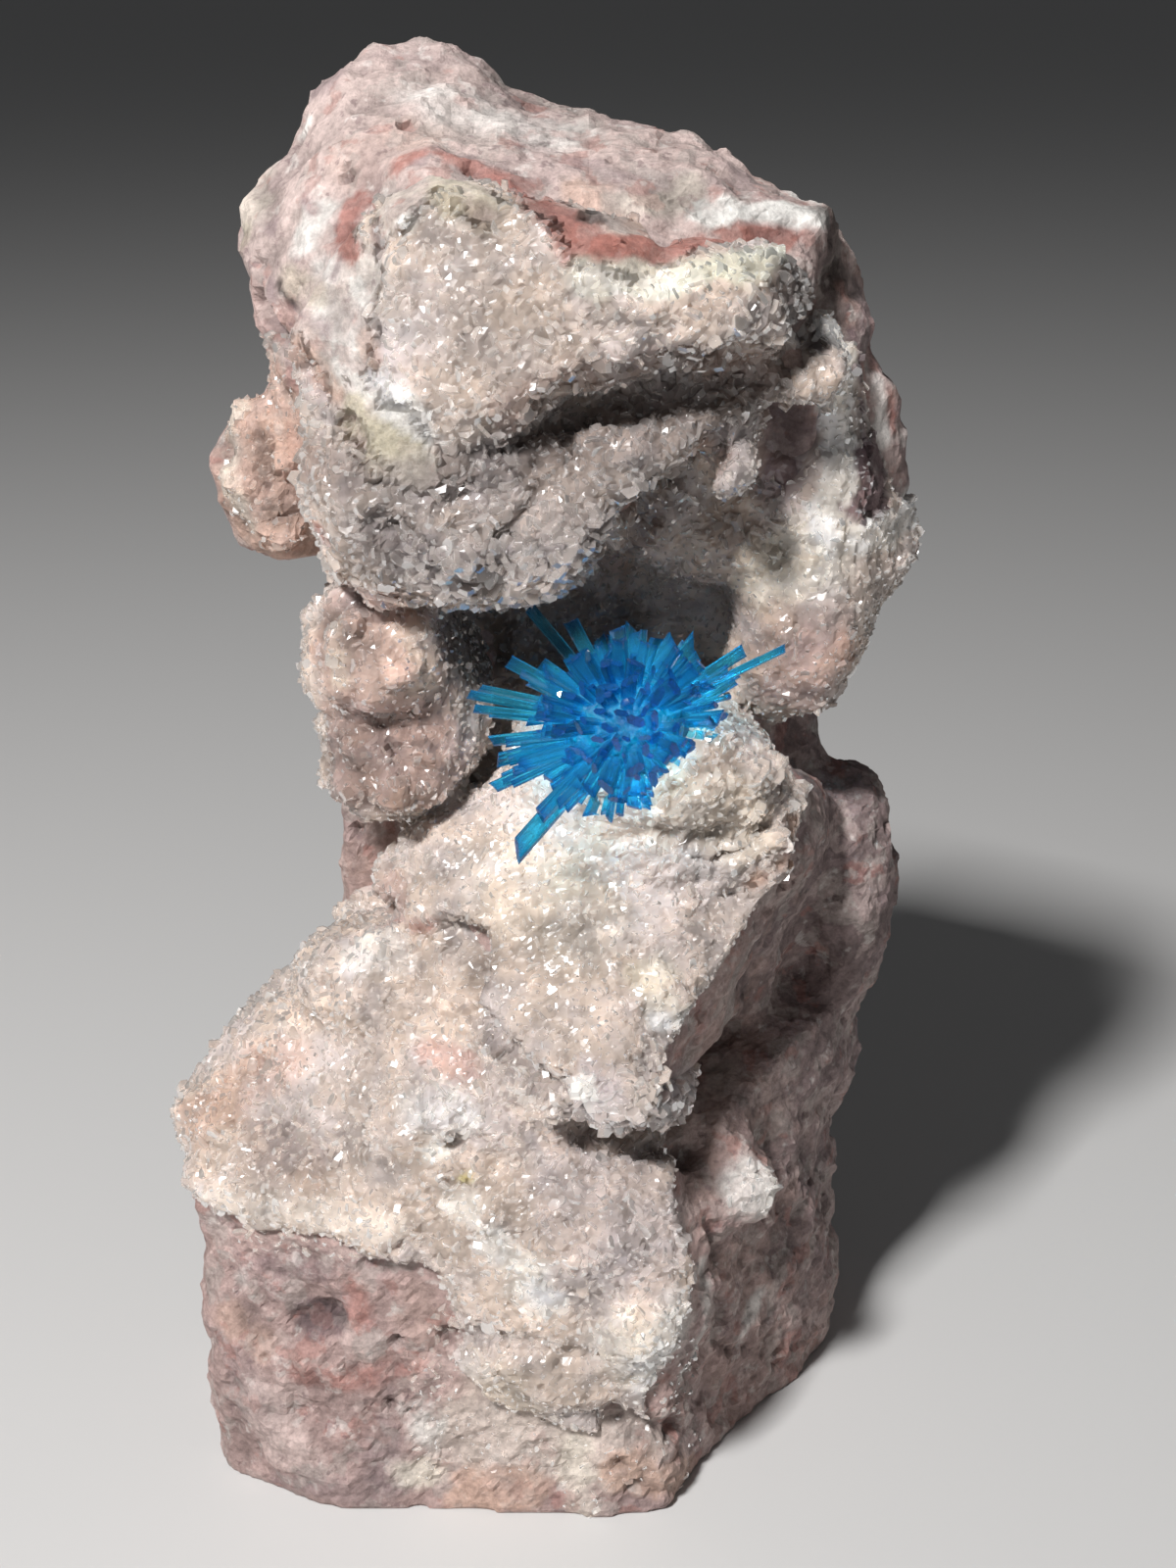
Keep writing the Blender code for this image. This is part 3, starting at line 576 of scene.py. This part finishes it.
def broken_rock(point):
    """How far bare rock stands out: swells, ridged breaks, rounded grains and a few flat chips."""
    swell = noise.noise(point / 5.0)
    breaks = noise.ridged_multi_fractal(point / 5.5, 0.9, 2.1, 3, 0.9, 1.8)
    grains = noise.voronoi(point / 1.1)[0][0]
    rough = noise.fractal(point / 1.8, 0.8, 2.0, 3)
    fine = 0.13 * (breaks - 1.2) + 0.26 * (0.45 - grains) + 0.2 * rough + 0.12 * chips(point, 2.6)
    lumps = 0.45 * (0.5 - noise.voronoi(point / 3.4)[0][0]) + 0.25 * noise.noise(point / 1.6)
    high = min(max((point.z - 58) / 8, 0.3), 1.0)
    crumbly = min(max((26 - point.z) / 6, 0.0), 1.0)
    crumbs = 0.3 * (0.45 - noise.voronoi(point / 2.3)[0][0]) + 0.2 * chips(point, 1.7) + 0.12 * noise.noise(point / 0.8)
    behind = min(max((point.y - 4) / 8, 0.0), 1.0)
    broad = 0.8 * noise.noise(point / 10) - 1.1 * abs(noise.noise(point / 6.5)) + 0.09 * chips(point, 6.0)
    return 0.35 * swell + fine + crumbly * crumbs + high * lumps + behind * broad


def rock_pits(point):
    """Small round pits here and there."""
    away, near = noise.voronoi(point / 2.8)
    if noise.cell(near[0] * 3.7) < 0.62:
        return 0.0
    return -1.1 * max(0.0, 0.24 - away[0]) / 0.24


def make_rock(crust_tree):
    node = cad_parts["matrix_rock"]
    mesh = fine_mesh(node.data.copy(), FINE_VOXEL, 6)
    points = points_of(mesh)
    normals = normals_of(mesh)
    rise = np.zeros(len(points))
    pressed = creases(points, CREASES)
    filled = creases(points, FILLS)
    for index, place in enumerate(points):
        point = Vector(place)
        away = crust_tree.find_nearest(point, 3.0)[3]
        bare = 1.0 if away is None else min(max((away - COVER_FROM) / 1.2, 0.0), 1.0)
        foot = min(max(point.z / 1.5, 0.0), 1.0)
        if bare * foot > 0:
            rise[index] = bare * foot * (broken_rock(point) + rock_pits(point))
        rise[index] -= max(pressed[index], bare * pressed[index]) + filled[index]
    moved = points + normals * rise[:, None]
    moved[:, 2] = np.where(points[:, 2] < 0.05, points[:, 2], np.maximum(moved[:, 2], 0.0))
    move_to(mesh, moved)
    # Painted shade and light: a hollow's colour is darkened and a bump's a little lightened
    painted_shade = 1 + 0.5 * np.clip(rise / 0.5, -1, 0.3)
    colours, plain = zone_colours(moved, "rock", ROCK_ZONES)
    paint(mesh, colours * painted_shade[:, None], 0.0, plain)
    rock = add_piece("broken_rock", mesh, "matrix_rock")
    rock.data.materials.append(surface_material("mottled_volcanic_rock"))
    return rock


def height_above(tree, point):
    """How far a point stands off a surface, less than nothing when it is inside."""
    near, normal, _, away = tree.find_nearest(point)
    return away if (point - near).dot(normal) > -ROUNDING else -away


def triangles_where(mesh, share, least):
    """The mesh's triangles whose corners all have more than the least share."""
    mesh.calc_loop_triangles()
    return [t.vertices[:] for t in mesh.loop_triangles if min(share[v] for v in t.vertices) > least]


def crust_relief(point):
    """How far the crust stands out: nodules, and the uneven tops of its crystals."""
    knobbly = min(max((-3 - point.x) / 3, 0.0), 1.0) * min(max((64 - point.z) / 3, 0.0), 1.0)
    knobbly *= min(max((point.z - 45) / 2, 0.0), 1.0)
    lump = noise.voronoi(point / 6.5)[0][0]
    nodule = noise.voronoi(point / 2.6)[0][0]
    uneven = noise.noise(point / 1.4)
    return 0.9 * (0.45 - lump) + (0.3 + 0.8 * knobbly) * (0.45 - nodule) + 0.15 * uneven + 0.3 * chips(point, 0.95)


def make_crust(rock_tree):
    """The crust's ground, which reaches into the rock behind it, and how far each vertex stood off the rock."""
    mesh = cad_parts["heulandite_crust"].data.copy()
    points = points_of(mesh)
    for index, place in enumerate(points):
        near, normal, _, away = rock_tree.find_nearest(Vector(place))
        if away < 0.45:
            points[index] = near - 0.8 * normal
    move_to(mesh, points)
    mesh = fine_mesh(mesh, CRUST_VOXEL, 8)
    points = points_of(mesh)
    normals = normals_of(mesh)
    above = [height_above(rock_tree, Vector(p)) for p in points]
    coat = coat_share(points)
    rise = np.array([
        crust_relief(Vector(p)) if share > 0.5 else 0.6 * broken_rock(Vector(p)) for p, share in zip(points, coat)
    ])
    moved = points + normals * (rise - creases(points, CREASES))[:, None]
    move_to(mesh, moved)
    # Painted shade and light: a hollow's colour is darkened and a bump's a little lightened
    painted_shade = 0.95 * (1 + 0.4 * np.clip(rise / 0.4, -1, 0.3))
    colours, plain = zone_colours(moved, "beige", [])
    paint(mesh, colours * painted_shade[:, None], coat, plain)
    crust = add_piece("crust_ground", mesh, "heulandite_crust")
    crust.data.materials.append(surface_material("zeolite_ground", crystalline=True))
    return crust, above


def scatter(points, faces, spacing, rng):
    """Random places on the faces, no two closer than the spacing, with the normal at each."""
    corners = points[np.array(faces)]
    cross = np.cross(corners[:, 1] - corners[:, 0], corners[:, 2] - corners[:, 0])
    areas = np.linalg.norm(cross, axis=1) / 2
    tries = int(5 * areas.sum() / spacing ** 2)
    picks = rng.choice(len(faces), tries, p=areas / areas.sum())
    first = np.sqrt(rng.random((tries, 1)))
    second = rng.random((tries, 1))
    a, b, c = (corners[picks, k] for k in range(3))
    places = (1 - first) * a + first * (1 - second) * b + first * second * c
    normals = cross[picks] / (2 * areas[picks, None])
    cells = np.floor(places / spacing).astype(int)
    filled = {}
    kept = []
    around = [(x, y, z) for x in (-1, 0, 1) for y in (-1, 0, 1) for z in (-1, 0, 1)]
    for index in range(tries):
        x, y, z = cells[index]
        near = [filled.get((x + i, y + j, z + k)) for i, j, k in around]
        if all(n is None or np.sum((places[n] - places[index]) ** 2) > spacing ** 2 for n in near):
            filled[(x, y, z)] = index
            kept.append(index)
    return places[kept], normals[kept]


# One plate of the crust as an outline in its own width and length, with a blunt coffin-shaped end
PLATE_OUTLINE = [(-0.4, 0.0), (0.4, 0.0), (0.5, 0.62), (0.3, 1.0), (-0.24, 0.96), (-0.5, 0.6)]


def frames_from(along, rng):
    """Three axes for each row: across, through and along."""
    spin = rng.normal(size=along.shape)
    across = np.cross(along, spin)
    across /= np.linalg.norm(across, axis=1, keepdims=True)
    return across, np.cross(along, across), along


def plate_points(places, normals, size, rng):
    """The corners of every plate, twelve each, standing out from the surface with some sway."""
    count = len(places)
    sway = rng.normal(size=(count, 3))
    sway /= np.linalg.norm(sway, axis=1, keepdims=True)
    along = normals + PLATE_SWAY * rng.random((count, 1)) ** 0.6 * sway
    along /= np.linalg.norm(along, axis=1, keepdims=True)
    across, through, along = frames_from(along, rng)
    length = rng.uniform(*PLATE_LENGTH, (count, 1)) * size
    width = rng.uniform(*PLATE_WIDTH, (count, 1)) * size
    thick = rng.uniform(*PLATE_THICKNESS, (count, 1)) * size
    sunk = np.clip(1.2 - 0.45 * size, 0.55, 0.82)
    corners = []
    for side, scale in ((-0.5, 0.8), (0.5, 1.0)):
        for x, z in PLATE_OUTLINE:
            reach = z * (0.5 + 0.5 * scale)
            corners.append(
                places + across * width * x * scale + through * thick * side
                + along * length * (reach - sunk)
            )
    return np.stack(corners, axis=1)


def plate_faces(count):
    ring = len(PLATE_OUTLINE)
    one = [tuple(reversed(range(ring))), tuple(range(ring, 2 * ring))]
    one += [(k, (k + 1) % ring, ring + (k + 1) % ring, ring + k) for k in range(ring)]
    return [tuple(corner + 2 * ring * index for corner in face) for index in range(count) for face in one]


# Where the plates are smaller or larger than elsewhere: centre, radii and factor
PLATE_SIZES = [
    ((-12.4, 0, 67), (7, 7, 8), 0.85),
    ((-5, -6, 53), (7, 7, 9), 0.8),
    ((6, 0, 60), (11, 9, 8), 0.8),
    ((19, -1, 56), (9, 7, 6), 0.75),
    ((15.2, -5, 68), (3, 4, 4), 0.8),
    ((25, 0, 67), (4, 6, 8), 0.7),
    ((5, -12, 64), (9, 6, 4), 1.4),
    ((9, -15, 31), (8, 5, 3.5), 1.4),
    ((9, -12, 42), (13, 9, 8.5), 0.8),
    ((7, -14, 5), (14, 8, 8), 0.7),
]


def plate_size(places, rng):
    size = 0.9 * rng.lognormal(0.0, 0.2, (len(places), 1))
    for centre, radii, factor in PLATE_SIZES:
        away = (((places - centre) / radii) ** 2).sum(axis=1)[:, None]
        size *= np.where(away < 1, factor, 1.0)
    return np.clip(size, 0.4, 1.5)


def plates_on_crust(crust_mesh, above, rng):
    """Where the crust's plates stand, and the normal at each."""
    faces = triangles_where(crust_mesh, above, PLATES_ABOVE)
    places, normals = scatter(points_of(crust_mesh), faces, PLATE_SPACING, rng)
    coated = coat_share(places) > rng.random(len(places))
    return places[coated], normals[coated]


def plates_on_rock(rock_mesh, rng):
    """Where small plates stand on the bare rock, and the normal at each."""
    points = points_of(rock_mesh)
    wander = wandering(points)
    dusted = np.max([stroke_share(points, wander, width, 0.8, pixels) for width, pixels in DUSTED], axis=0)
    return scatter(points, triangles_where(rock_mesh, dusted, 0.3), 1.3 * PLATE_SPACING, rng)


def make_plates(rock_mesh, crust_mesh, above, rng):
    places, normals = plates_on_crust(crust_mesh, above, rng)
    more, their_normals = plates_on_rock(rock_mesh, rng)
    places = np.concatenate((places, more))
    normals = np.concatenate((normals, their_normals))
    corners = plate_points(places, normals, plate_size(places, rng), rng)
    colours = zone_colours(places, "beige", [])[0]
    colours += 0.12 * (1 - colours)
    colours *= rng.normal(1.0, 0.05, (len(places), 1))
    upper = places[:, 2] > np.median(places[:, 2])
    glassy = plate_material()
    for name, chosen in (("upper_plates", upper), ("lower_plates", ~upper)):
        mesh = mesh_from(name, corners[chosen].reshape(-1, 3), plate_faces(int(chosen.sum())))
        paint(mesh, np.repeat(colours[chosen], corners.shape[1], axis=0), 1.0)
        piece = add_piece(name, mesh, "heulandite_crust")
        piece.data.materials.append(glassy)
        piece.visible_shadow = False


# The rings along a blade: how far along it each lies, and its share of the full width
BLADE_LEVELS = ((0.0, 0.8), (0.55, 0.95), (1.0, 1.0))
BLADE_RINGS = len(BLADE_LEVELS)


def blade_ring(width, thick, rng):
    """The outline across a blade: two broad faces with faint growth ridges, and bevelled sides."""
    half = width / 2
    deep = thick / 2
    broad = [-0.62, -0.3, 0.02, 0.33, 0.64]
    front = [(x * half, deep * rng.uniform(0.9, 1.06)) for x in broad]
    back = [(x * half, -deep * rng.uniform(0.9, 1.06)) for x in reversed(broad)]
    return [(-half, 0.0), *front, (half, 0.0), *back]


def blade(root, tip, width, cut, turn, rng):
    """One blade from its root to its tip, as corners and faces."""
    reach = tip - root
    length = reach.length
    along = reach.normalized()
    wide = along.cross(TOWARD).normalized()
    flat = wide.cross(along)
    across = wide * math.cos(turn) + flat * math.sin(turn)
    through = across.cross(along)
    thick = width * rng.uniform(0.34, 0.5)
    outline = blade_ring(width, thick, rng)
    chisel = rng.uniform(0.0, 0.4)
    lowest = abs(cut) * width / 2
    points = []
    for share, scale in BLADE_LEVELS:
        for x, y in outline:
            far = share * length
            if share == 1.0:
                far -= lowest + cut * x + chisel * abs(y)
            points.append(SPRAY_CENTRE + root + across * x * scale + through * y * scale + along * far)
    ring = len(outline)
    last = (BLADE_RINGS - 1) * ring
    faces = [tuple(reversed(range(ring))), tuple(range(last, last + ring))]
    for level in range(0, last, ring):
        for k in range(ring):
            after = (k + 1) % ring
            faces.append((level + k, level + after, level + ring + after, level + ring + k))
    return points, faces


def blades_of_spray(rng):
    """Every blade: its root and tip from the centre, its width, the cut of its end and its turn."""
    for across, up, toward, width, cut, beside in LONG_BLADES:
        tip = across * ACROSS + up * UPWARD + toward * TOWARD
        yield Vector((0, 0, 0)), tip, width, cut, rng.uniform(-0.3, 0.3)
        for _ in range(beside):
            aside = Vector(rng.normal(0, 1, 3)).cross(tip.normalized()).normalized() * rng.uniform(0.5, 1.2)
            end = aside * 1.1 + tip * rng.uniform(0.7, 0.94)
            yield aside, end, width * rng.uniform(0.6, 1.0), rng.uniform(-0.6, 0.6), rng.uniform(-0.4, 0.4)
    golden = math.pi * (3 - math.sqrt(5))
    for index in range(SHORT_BLADES):
        toward = 1 - 1.25 * (index + 0.5) / SHORT_BLADES
        ring = math.sqrt(1 - toward * toward)
        angle = index * golden + rng.uniform(-0.3, 0.3)
        aim = math.cos(angle) * ring * ACROSS + math.sin(angle) * ring * UPWARD + toward * TOWARD
        swell = 0.6 * noise.noise(aim * 2.1)
        tip = aim * (rng.uniform(*SHORT_REACH) + swell)
        buried = min(max(aim.dot(ACROSS), 0.0) * max(-aim.dot(UPWARD), 0.0) * 2, 1.0)
        tip *= 1 - 0.38 * buried
        tip += 0.1 * tip.dot(ACROSS) * ACROSS
        yield tip * 0.3, tip, rng.uniform(0.6, 1.3), rng.uniform(-0.6, 0.6), rng.uniform(-1.5, 1.5)


def make_spray(rng):
    points = []
    faces = []
    for root, tip, width, cut, turn in blades_of_spray(rng):
        more, sides = blade(root, tip, width, cut, turn, rng)
        faces += [tuple(corner + len(points) for corner in side) for side in sides]
        points += [p[:] for p in more]
    mesh = mesh_from("spray_blades", points, faces)
    ring = len(blade_ring(1, 1, rng))
    tips = np.arange(len(points)) // ring % BLADE_RINGS == BLADE_RINGS - 1
    mesh.attributes.new("tip", "FLOAT", "POINT").data.foreach_set("value", tips.astype(float))
    blades = add_piece("spray_blades", mesh, "pentagonite_spray")
    blades.data.materials.append(blade_material())
    blades.visible_shadow = False

    core = bpy.data.meshes.new("spray_heart")
    bm = bmesh.new()
    bmesh.ops.create_icosphere(bm, subdivisions=5, radius=1)
    for vert in bm.verts:
        place = Vector([c * r for c, r in zip(vert.co, CORE_RADII)])
        lump = 1 + 0.05 * noise.voronoi(vert.co * 6)[0][0] + 0.06 * chips(vert.co * 5, 1.0)
        vert.co = (SPRAY_CENTRE + place * lump) * MM
    bm.to_mesh(core)
    bm.free()
    heart = add_piece("spray_heart", core, "pentagonite_spray")
    heart.data.materials.append(heart_material())


class Nodes:
    """A short way to build a material's nodes."""

    def __init__(self, name):
        self.material = bpy.data.materials.new(name)
        self.material.use_nodes = True
        self.tree = self.material.node_tree
        self.shader = self.tree.nodes["Principled BSDF"]
        self.output = self.tree.nodes["Material Output"]
        self.place = self.tree.nodes.new("ShaderNodeTexCoord").outputs["Object"]

    def join(self, source, target):
        self.tree.links.new(source, target)

    def ground(self):
        """The stored ground colour, and how far the crust covers the place."""
        node = self.tree.nodes.new("ShaderNodeAttribute")
        node.attribute_name = "ground"
        return node.outputs["Color"], node.outputs["Alpha"]

    def stored(self, name):
        """A number stored at the mesh's vertices."""
        node = self.tree.nodes.new("ShaderNodeAttribute")
        node.attribute_name = name
        return node.outputs["Fac"]

    def noise(self, size, detail=6.0, roughness=0.6, distortion=0.0):
        """Cloudy noise whose features are about the given size in millimetres."""
        node = self.tree.nodes.new("ShaderNodeTexNoise")
        node.inputs["Scale"].default_value = 1 / (size * MM)
        node.inputs["Detail"].default_value = detail
        node.inputs["Roughness"].default_value = roughness
        node.inputs["Distortion"].default_value = distortion
        self.join(self.place, node.inputs["Vector"])
        return node.outputs["Fac"]

    def ramp(self, source, low, high, start=0.0, end=1.0):
        """Spreads source from low..high to start..end."""
        node = self.tree.nodes.new("ShaderNodeMapRange")
        node.inputs["From Min"].default_value = low
        node.inputs["From Max"].default_value = high
        node.inputs["To Min"].default_value = start
        node.inputs["To Max"].default_value = end
        self.join(source, node.inputs["Value"])
        return node.outputs["Result"]

    def mix(self, factor, first, second, kind="MIX"):
        node = self.tree.nodes.new("ShaderNodeMix")
        node.data_type = "RGBA"
        node.blend_type = kind
        for value, socket in ((factor, node.inputs[0]), (first, node.inputs[6]), (second, node.inputs[7])):
            if isinstance(value, bpy.types.NodeSocket):
                self.join(value, socket)
            elif isinstance(value, tuple):
                socket.default_value = (*value, 1)
            else:
                socket.default_value = value
        return node.outputs[2]

    def product(self, first, second):
        node = self.tree.nodes.new("ShaderNodeMath")
        node.operation = "MULTIPLY"
        self.join(first, node.inputs[0])
        self.join(second, node.inputs[1])
        return node.outputs["Value"]

    def blend(self, factor, first, second):
        """The value between first and second."""
        node = self.tree.nodes.new("ShaderNodeMix")
        for value, socket in ((factor, node.inputs[0]), (first, node.inputs[2]), (second, node.inputs[3])):
            if isinstance(value, bpy.types.NodeSocket):
                self.join(value, socket)
            else:
                socket.default_value = value
        return node.outputs[0]

    def facets(self, size):
        """Heights of flat facets of about the given size, each with its own tilt."""
        cells = self.tree.nodes.new("ShaderNodeTexVoronoi")
        cells.inputs["Scale"].default_value = 1 / (size * MM)
        self.join(self.place, cells.inputs["Vector"])
        scaled = self.vector("MULTIPLY", self.place, (1 / (size * MM),) * 3)
        within = self.vector("SUBTRACT", scaled, cells.outputs["Position"])
        tilt = self.vector("SUBTRACT", cells.outputs["Color"], (0.5, 0.5, 0.5))
        return self.vector("DOT_PRODUCT", within, tilt, output="Value")

    def vector(self, operation, first, second, output="Vector"):
        node = self.tree.nodes.new("ShaderNodeVectorMath")
        node.operation = operation
        for value, socket in ((first, node.inputs[0]), (second, node.inputs[1])):
            if isinstance(value, bpy.types.NodeSocket):
                self.join(value, socket)
            else:
                socket.default_value = value
        return node.outputs[output]

    def bump(self, height, strength, depth):
        node = self.tree.nodes.new("ShaderNodeBump")
        node.inputs["Strength"].default_value = strength
        node.inputs["Distance"].default_value = depth * MM
        self.join(height, node.inputs["Height"])
        self.join(node.outputs["Normal"], self.shader.inputs["Normal"])

    def set(self, **values):
        for name, value in values.items():
            self.shader.inputs[name.replace("_", " ")].default_value = value


def surface_material(name, crystalline=False):
    """Mottled broken rock where the fourth channel is 0, and the crust's crystalline ground where it is 1."""
    nodes = Nodes(name)
    ground, coat = nodes.ground()
    bare = ground
    shown = nodes.ramp(nodes.stored("plain"), 0.2, 1.0, 1.0, 0.25)
    for size, low, high, colour, share in MOTTLES:
        patch = nodes.ramp(nodes.noise(size, 5, 0.55), low, high, 0.0, share)
        bare = nodes.mix(nodes.product(patch, shown), bare, COLOURS[colour])
    grain = nodes.noise(0.5, 5, 0.7)
    bare = nodes.mix(1.0, bare, nodes.ramp(grain, 0.3, 0.7, 0.66, 1.24), "MULTIPLY")
    rough = nodes.ramp(grain, 0.3, 0.7, 0.95, 0.6)
    height = nodes.noise(1.1, 9, 0.72)
    if crystalline:
        cloudy = nodes.ramp(nodes.noise(2.4, 5, 0.65), 0.35, 0.65, 0.8, 1.1)
        warm = nodes.mix(nodes.ramp(nodes.noise(6.0, 3), 0.42, 0.58), (0.94, 0.96, 1.03), (1.04, 1.0, 0.965))
        druse = nodes.mix(1.0, nodes.mix(1.0, ground, cloudy, "MULTIPLY"), warm, "MULTIPLY")
        bare = nodes.mix(coat, bare, druse)
        rough = nodes.blend(coat, rough, 0.22)
        height = nodes.blend(coat, height, nodes.facets(0.55))
        nodes.set(Subsurface_Weight=0.6, Subsurface_Scale=0.8 * MM, Subsurface_Radius=(1.0, 0.95, 0.9))
    nodes.join(bare, nodes.shader.inputs["Base Color"])
    nodes.join(rough, nodes.shader.inputs["Roughness"])
    nodes.bump(height, 0.85, 0.33)
    nodes.set(IOR=1.5)
    return nodes.material


def plate_material():
    nodes = Nodes("glassy_zeolite")
    cloudy = nodes.ramp(nodes.noise(0.7, 4, 0.6), 0.3, 0.7, 0.88, 1.1)
    nodes.join(nodes.mix(1.0, nodes.ground()[0], cloudy, "MULTIPLY"), nodes.shader.inputs["Base Color"])
    nodes.join(nodes.ramp(nodes.noise(0.4, 3), 0.35, 0.7, 0.1, 0.34), nodes.shader.inputs["Roughness"])
    nodes.set(IOR=1.5, Transmission_Weight=0.5)
    nodes.set(Subsurface_Weight=0.8, Subsurface_Scale=0.6 * MM, Subsurface_Radius=(1.0, 0.95, 0.9))
    return nodes.material


def blade_material():
    nodes = Nodes("clear_blue_blade")
    nodes.join(nodes.ramp(nodes.noise(0.5, 4), 0.35, 0.7, 0.01, 0.08), nodes.shader.inputs["Roughness"])
    nodes.set(IOR=1.55, Transmission_Weight=0.9)
    deep = nodes.ramp(nodes.stored("tip"), 0.75, 1.0, 0.0, 0.6)
    nodes.join(nodes.mix(deep, (0.1, 0.58, 0.76), (0.02, 0.2, 0.6)), nodes.shader.inputs["Base Color"])
    absorb = nodes.tree.nodes.new("ShaderNodeVolumeAbsorption")
    absorb.inputs["Color"].default_value = (0.0, 0.78, 0.9, 1)
    absorb.inputs["Density"].default_value = 4200
    nodes.join(absorb.outputs["Volume"], nodes.output.inputs["Volume"])
    return nodes.material


def heart_material():
    nodes = Nodes("deep_blue_heart")
    cloudy = nodes.ramp(nodes.noise(1.2, 6, 0.7), 0.35, 0.65)
    nodes.join(nodes.mix(cloudy, (0.0, 0.08, 0.22), (0.0, 0.24, 0.42)), nodes.shader.inputs["Base Color"])
    nodes.join(nodes.ramp(nodes.noise(0.4), 0.3, 0.7, 0.1, 0.5), nodes.shader.inputs["Roughness"])
    nodes.bump(nodes.noise(0.4, 6, 0.7), 0.6, 0.3)
    nodes.set(IOR=1.55)
    return nodes.material


def make_floor():
    mesh = mesh_from("floor", [(-6000, -6000, 0), (6000, -6000, 0), (6000, 6000, 0), (-6000, 6000, 0)], [(0, 1, 2, 3)])
    floor = bpy.data.objects.new("floor", mesh)
    bpy.context.scene.collection.objects.link(floor)
    nodes = Nodes("pale_floor")
    nodes.set(Base_Color=(0.62, 0.61, 0.6, 1), Roughness=0.7)
    mesh.materials.append(nodes.material)


def add_light(name, place, target, size, watts):
    light = bpy.data.lights.new(name, "AREA")
    light.size = size * MM
    light.energy = watts
    obj = bpy.data.objects.new(name, light)
    obj.location = Vector(place) * MM
    aim = Vector(target) - Vector(place)
    obj.rotation_euler = aim.to_track_quat("-Z", "Y").to_euler()
    bpy.context.scene.collection.objects.link(obj)


def make_lights():
    add_light("key", (-148, -268, 385), (3, 0, 52), 60, 2.95)
    add_light("fill", (330, -300, 160), (3, 0, 45), 260, 0.075)
    world = bpy.data.worlds.new("studio")
    world.use_nodes = True
    world.node_tree.nodes["Background"].inputs["Color"].default_value = (0.9, 0.92, 0.95, 1)
    world.node_tree.nodes["Background"].inputs["Strength"].default_value = 0.06
    bpy.context.scene.world = world
    bpy.context.scene.view_settings.view_transform = "Standard"


def make_camera():
    camera = bpy.data.cameras.new("camera")
    camera.sensor_fit = "VERTICAL"
    camera.sensor_height = SENSOR
    camera.lens = SENSOR * FOCAL_PIXELS / PHOTO_HEIGHT
    camera.clip_start = 0.005
    obj = bpy.data.objects.new("camera", camera)
    obj.location = Vector(EYE) * MM
    obj.rotation_euler = (math.pi / 2 - LOOK_DOWN, 0, 0)
    bpy.context.scene.collection.objects.link(obj)
    bpy.context.scene.camera = obj


SOLIDS = tree_of_solids("matrix_rock", "heulandite_crust")


def main():
    rock_tree = tree_of(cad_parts["matrix_rock"].data)
    rock = make_rock(tree_of(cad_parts["heulandite_crust"].data))
    crust, above = make_crust(rock_tree)
    make_plates(rock.data, crust.data, above, np.random.default_rng(PLATE_SEED))
    make_spray(np.random.default_rng(SPRAY_SEED))
    make_floor()
    make_lights()
    make_camera()


main()
